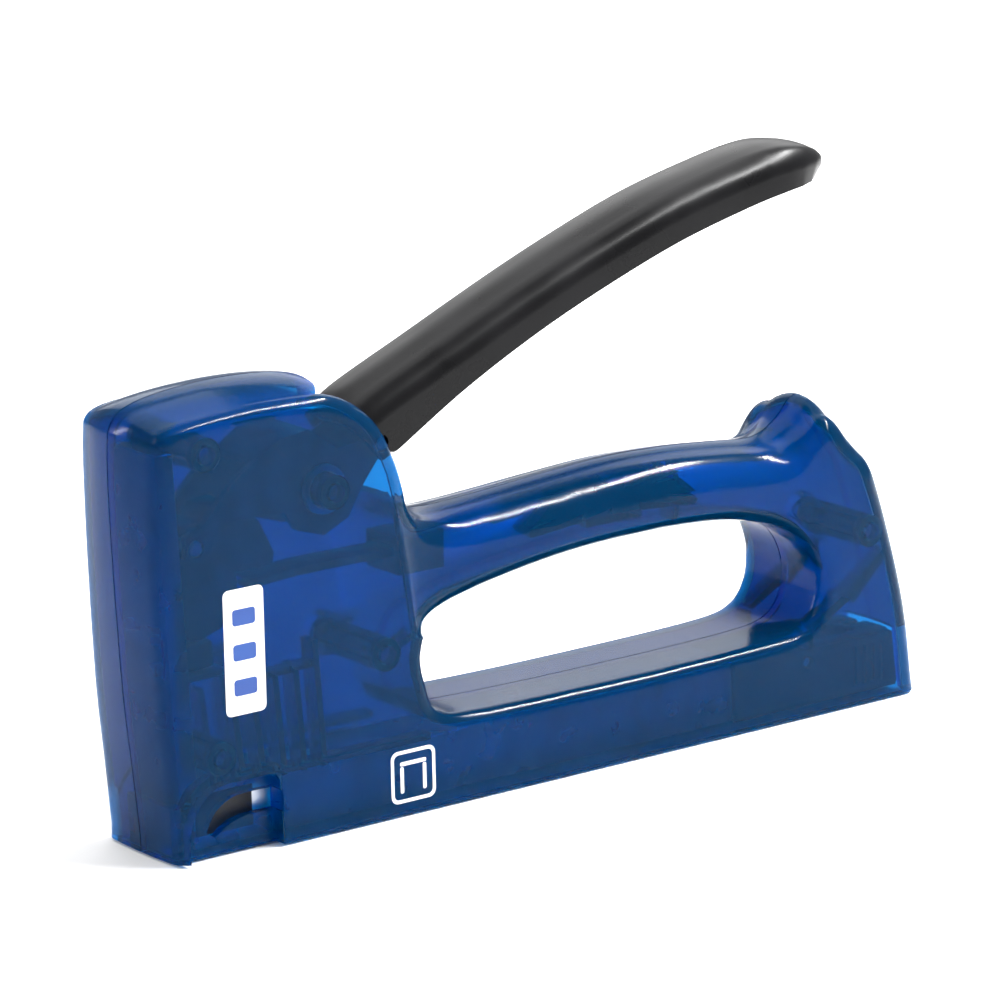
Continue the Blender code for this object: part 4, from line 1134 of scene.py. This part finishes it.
@dataclass
class Lever:
    """The long black squeezing arm: a channel along a curved line, closed by a rounded tip."""

    pivot: Point = (35.3, 66.6)
    reach: float = 129.4
    width: float = 19.4
    wall: float = 1.6
    steps: int = 8
    corner_steps: int = 7
    pin: Point = (47.9, 73.8)
    pin_radius: float = 1.8

    def line(self) -> list[tuple[float, ...]]:
        """The middle of the lever's top from root to tip, with its depth and half width.

        Returns:
            Points of (x, z, depth, half width).
        """
        share, half = self.reach / 100.0, self.width / 2
        keys = (
            (4.4, 12.0, 10.6, half - 0.2), (8.9, 16.4, 12.2, half - 0.2), (22.9, 24.2, 10.0, half - 0.2),
            (36.9, 31.9, 9.2, half - 0.2), (50.9, 38.9, 9.0, half - 0.1), (65.0, 45.1, 9.0, half),
            (79.0, 49.4, 8.8, half), (87.3, 51.2, 8.6, half), (92.5, 51.1, 8.0, half - 0.7),
            (96.3, 49.8, 6.9, half - 2.2), (98.8, 48.0, 5.4, half - 4.2), (100.0, 46.2, 3.8, half - 6.4),
        )
        shifted = [(self.pivot[0] + x * share, self.pivot[1] + z, deep, wide) for x, z, deep, wide in keys]
        return spline(shifted, self.steps)

    def section(self, wide: float, deep: float, corner: float) -> list[Point]:
        """The channel's section, open below.

        Args:
            wide: half of its width.
            deep: its depth.
            corner: the radius of its upper edges.

        Returns:
            Points of (y, down).
        """
        def side(half: float, radius: float, sink: float) -> list[Point]:
            """One half of the section from its foot to its middle.

            Args:
                half: half of the width.
                radius: the corner's radius.
                sink: the depth of its top.

            Returns:
                Points of (y, down).
            """
            points = [(half, deep)]
            for k in range(self.corner_steps + 1):
                turn = math.pi / 2 * k / self.corner_steps
                points.append((half - radius + radius * math.cos(turn),
                               sink + radius - radius * math.sin(turn)))
            points.append(((half - radius) * 0.5, sink - 0.25))
            return points

        outer = side(wide, corner, 0.0)
        outer += [(0.0, -0.35)] + [(-y, down) for y, down in outer[::-1]]
        inner = side(wide - self.wall, max(corner - self.wall, 0.3), self.wall)
        inner += [(0.0, self.wall - 0.35)] + [(-y, down) for y, down in inner[::-1]]
        return outer + inner[::-1]

    def build(self, finish: bpy.types.Material) -> list[bpy.types.Object]:
        """Makes the arm with its pin hole.

        Args:
            finish: its paint.

        Returns:
            The pieces.
        """
        line, rows = self.line(), []
        for i, (x, z, deep, wide) in enumerate(line):
            ahead, behind = Vector(line[min(i + 1, len(line) - 1)][:2]), Vector(line[max(i - 1, 0)][:2])
            along = (ahead - behind).normalized()
            corner = min(5.4, deep * 0.58, wide * 0.8)
            section = self.section(wide, deep, corner)
            rows.append([(x + along.y * sink, y, z - along.x * sink) for y, sink in section])
        arm = Mould.bridge(rows, cyclic=False)
        arm = Mould.boolean(arm, Mould.disc(*self.pin, self.pin_radius, -20, 20), Join.CUT)
        piece = Mould.piece("lever_arm_fine", arm, finish, 32.0)
        Mould.shaded_evenly(piece)
        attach(piece, "lever")
        return [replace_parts(piece, "lever_arm")]


# ---------------------------------------------------------------- springs and staples


@dataclass
class Springs:
    """The leaf that throws the hammer and the long coil behind the pusher."""

    leaf_thickness: float = 1.6
    leaf_width: float = 7.0
    coil_wire: float = 0.3
    coil_turns: int = 26
    steps_per_turn: int = 16
    wire_sides: int = 6

    def leaf(self, finish: bpy.types.Material) -> bpy.types.Object:
        """The leaf, a gently curved strip from its anchor to the hammer.

        Args:
            finish: its steel.

        Returns:
            The piece.
        """
        low, high = (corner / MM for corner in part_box("power_spring"))
        middle = (low.z + high.z) / 2
        front, rear = low.x + 0.1, high.x - 0.1
        line = spline([(front, middle - 0.35), (front + 9.0, middle + 0.2), (front + 20.0, middle + 0.35),
                       (rear - 12.0, middle + 0.2), (rear, middle + 0.4)], 8)
        half = self.leaf_width / 2
        bm = Mould.softened(Mould.slab(band(line, self.leaf_thickness), -half, half), 0.25)
        piece = Mould.piece("power_spring_fine", bm, finish)
        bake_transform(piece)
        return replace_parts(piece, "power_spring")

    def coil(self, finish: bpy.types.Material) -> bpy.types.Object:
        """The coil behind the pusher, one fixed mesh that rides the magazine.

        Args:
            finish: its steel.

        Returns:
            The piece.
        """
        low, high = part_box("pusher_spring")
        middle_z = (low.z + high.z) / 2 / MM
        radius = (high.y - low.y) / 2 / MM - self.coil_wire
        x0, x1 = low.x / MM + 0.2, high.x / MM - 0.2
        rows, total = [], self.coil_turns * self.steps_per_turn
        for i in range(total + 1):
            turn = 2 * math.pi * i / self.steps_per_turn
            outward = Vector((0.0, math.cos(turn), math.sin(turn)))
            centre = Vector((x0 + (x1 - x0) * i / total, 0.0, middle_z)) + outward * radius
            ring = [2 * math.pi * k / self.wire_sides for k in range(self.wire_sides)]
            rows.append([centre + outward * (self.coil_wire * math.cos(b))
                         + Vector((self.coil_wire * math.sin(b), 0.0, 0.0)) for b in ring])
        piece = Mould.piece("pusher_spring_fine", Mould.bridge(rows, cyclic=False), finish, 80.0)
        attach(piece, "magazine")
        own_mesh(piece)
        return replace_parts(piece, "pusher_spring")


@dataclass
class StapleStick:
    """The stick of glued wire staples."""

    pitch: float = 0.78
    wire: float = 0.7

    def build(self, finish: bpy.types.Material) -> bpy.types.Object:
        """Makes the stick, one bevelled staple after another.

        Args:
            finish: the wire's material.

        Returns:
            The piece.
        """
        low, high = (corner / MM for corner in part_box("staple_strip"))
        half, wire = high.y, self.wire
        count = int((high.x - low.x) / self.pitch)
        outline = [(-half, low.z), (-half, high.z), (half, high.z), (half, low.z),
                   (half - wire, low.z), (half - wire, high.z - wire), (-half + wire, high.z - wire),
                   (-half + wire, low.z)]
        staples = []
        for i in range(count):
            bm = Mould.slab(outline, 0.0, self.pitch * 0.98)
            Mould.softened(bm, 0.16, 1)
            bmesh.ops.rotate(bm, matrix=Matrix.Rotation(-math.pi / 2, 3, "Z"), verts=bm.verts)
            bmesh.ops.translate(bm, vec=(low.x + i * self.pitch, 0.0, 0.0), verts=bm.verts)
            staples.append(bm)
        piece = Mould.piece("staple_strip_fine", Mould.gather(staples), finish)
        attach(piece, "magazine")
        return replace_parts(piece, "staple_strip")


# ---------------------------------------------------------------- hard pieces


@dataclass
class HardPieces:
    """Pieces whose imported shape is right: they get rounded edges or only a finish."""

    rounded: dict[str, tuple[str, float]] = field(default_factory=lambda: {
        "hammer_block": ("dark", 0.4), "lever_core": ("dark", 0.25), "spring_anchor": ("dark", 0.3),
        "pull_piece": ("moulded", 0.35), "magazine_latch": ("moulded", 0.3), "nose_plate": ("zinc", 0.15),
        "guide_channel": ("zinc", 0.15), "magazine_track": ("zinc", 0.2), "hammer_bumper": ("rubber", 0.5),
    })
    plain: dict[str, str] = field(default_factory=lambda: {
        "bumper_bracket": "zinc", "driver_blade": "zinc", "latch_pin": "zinc", "lever_cross_pin": "zinc",
        "lift_pin": "zinc", "pivot_sleeve": "zinc", "pusher": "zinc", "pusher_rod": "zinc",
        "pusher_slider": "moulded", "staple_rail": "zinc", "shell_screw_front_bottom": "zinc",
        "shell_screw_front_top": "zinc", "shell_screw_middle": "zinc", "shell_screw_pivot": "zinc",
        "shell_screw_rear": "zinc",
    })

    @staticmethod
    def copied(node: str) -> bmesh.types.BMesh:
        """A node's mesh in millimetres, with its corners merged and its flat faces joined.

        Args:
            node: the node's name.

        Returns:
            The body.
        """
        bm = bmesh.new()
        bm.from_mesh(frame["nodes"][node].data)
        bmesh.ops.scale(bm, vec=(1 / MM,) * 3, verts=bm.verts)
        bmesh.ops.remove_doubles(bm, verts=bm.verts, dist=CAD_WELD)
        bmesh.ops.dissolve_limit(bm, angle_limit=math.radians(1.0), verts=bm.verts, edges=bm.edges)
        return bm

    def build(self, finishes: dict[str, bpy.types.Material]) -> list[bpy.types.Object]:
        """Rounds and dresses every hard piece.

        Args:
            finishes: the materials by short name.

        Returns:
            The new pieces.
        """
        made = []
        for node, (finish, width) in self.rounded.items():
            bm = Mould.softened(self.copied(node), width, 2, 25.0)
            piece = Mould.piece(node + "_fine", bm, finishes[finish], 40.0)
            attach(piece, frame["nodes"][node]["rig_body"])
            made.append(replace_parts(piece, node))
        for node, finish in self.plain.items():
            mesh = frame["nodes"][node].data
            mesh.materials.clear()
            mesh.materials.append(finishes[finish])
        return made


# ---------------------------------------------------------------- studio


@dataclass
class Studio:
    """Pale floor, soft lights and the camera."""

    eye: tuple[float, float, float] = (-0.54925, -0.85765, 0.33028)
    turn_deg: float = 36.4
    dip_deg: float = 14.5
    roll_deg: float = 1.2
    lens: float = 200.0
    sensor: float = 36.0
    sky_strength: float = 0.45
    floor_half: float = 14000.0
    floor_z: float = -0.6

    def floor(self, finish: bpy.types.Material) -> bpy.types.Object:
        """A wide pale floor just under the base.

        Args:
            finish: its material.

        Returns:
            The floor.
        """
        bm = bmesh.new()
        bmesh.ops.create_grid(bm, x_segments=2, y_segments=2, size=self.floor_half)
        bmesh.ops.translate(bm, vec=(0, 0, self.floor_z), verts=bm.verts)
        piece = Mould.piece("floor", bm, finish)
        return piece

    @staticmethod
    def lamp(name: str, place: Sequence[float], aim: Sequence[float], size: Sequence[float],
             power: float) -> None:
        """A soft rectangular light.

        Args:
            name: its name.
            place: where it hangs, in metres.
            aim: the point that it faces.
            size: its width and height in metres.
            power: its power in watts.
        """
        data = bpy.data.lights.new(name, "AREA")
        data.shape = "RECTANGLE"
        data.size, data.size_y = size
        data.energy = power
        light = bpy.data.objects.new(name, data)
        light.location = place
        light.rotation_euler = (Vector(aim) - Vector(place)).to_track_quat("-Z", "Y").to_euler()
        bpy.context.scene.collection.objects.link(light)

    def lights(self) -> None:
        """Soft lights above, behind and at the left, with narrow edge and rim lights, under an even sky."""
        self.lamp("top", (0.1, 0.5, 1.3), (0.08, 0.0, 0.05), (1.4, 1.0), 11.0)
        self.lamp("behind", (1.1, 1.6, 0.9), (0.3, 0.4, 0.0), (1.6, 1.0), 9.0)
        self.lamp("left", (-1.2, -0.2, 0.9), (0.05, 0.0, 0.06), (0.5, 1.0), 6.0)
        self.lamp("edge", (0.65, -0.25, 0.85), (0.08, 0.0, 0.06), (0.9, 0.07), 30.0)
        self.lamp("rim", (-0.9, 0.9, 0.5), (0.0, 0.0, 0.05), (0.08, 0.7), 8.0)
        world = bpy.data.worlds.new("studio")
        world.use_nodes = True
        sky = world.node_tree.nodes["Background"]
        sky.inputs["Color"].default_value = (1.0, 1.0, 1.0, 1.0)
        sky.inputs["Strength"].default_value = self.sky_strength
        bpy.context.scene.world = world
        bpy.context.scene.view_settings.view_transform = "Standard"

    def camera(self) -> None:
        """The camera, set by its turn, dip and roll."""
        turn, dip, roll = (math.radians(value) for value in (self.turn_deg, self.dip_deg, self.roll_deg))
        ahead = Vector((math.sin(turn) * math.cos(dip), math.cos(turn) * math.cos(dip), -math.sin(dip)))
        across = Vector((math.cos(turn), -math.sin(turn), 0.0))
        up = across.cross(ahead)
        right = across * math.cos(roll) - up * math.sin(roll)
        top = across * math.sin(roll) + up * math.cos(roll)
        data = bpy.data.cameras.new("camera")
        data.lens = self.lens
        data.sensor_width = self.sensor
        made = bpy.data.objects.new("camera", data)
        pose = Matrix((right, top, -ahead)).transposed().to_4x4()
        pose.translation = self.eye
        made.matrix_world = pose
        bpy.context.scene.collection.objects.link(made)
        bpy.context.scene.camera = made


def main() -> None:
    """Builds every sub-assembly in order and reports it."""
    logging.basicConfig(level=logging.INFO, format="%(message)s")
    finishes = {
        "dark": DARK_STEEL.build(), "zinc": ZINC.build(), "moulded": MOULDED_BLACK.build(),
        "rubber": RUBBER.build(), "wire": WIRE.build(), "white": INK.build(), "ink": BLUE_INK.build(),
    }
    blue = BLUE.build()
    made = Shells().build(blue, finishes["moulded"])
    made += Prints().build(finishes["white"], finishes["ink"])
    made += Lever().build(LEVER_BLACK.build())
    springs = Springs()
    made.append(springs.leaf(finishes["dark"]))
    made.append(springs.coil(finishes["zinc"]))
    made.append(StapleStick().build(finishes["wire"]))
    made += HardPieces().build(finishes)
    for piece in made:
        LOG.info("%s: %d faces", piece.name, len(piece.data.polygons))
    studio = Studio()
    studio.floor(FLOOR.build())
    studio.lights()
    studio.camera()


if __name__ == "__main__":
    main()
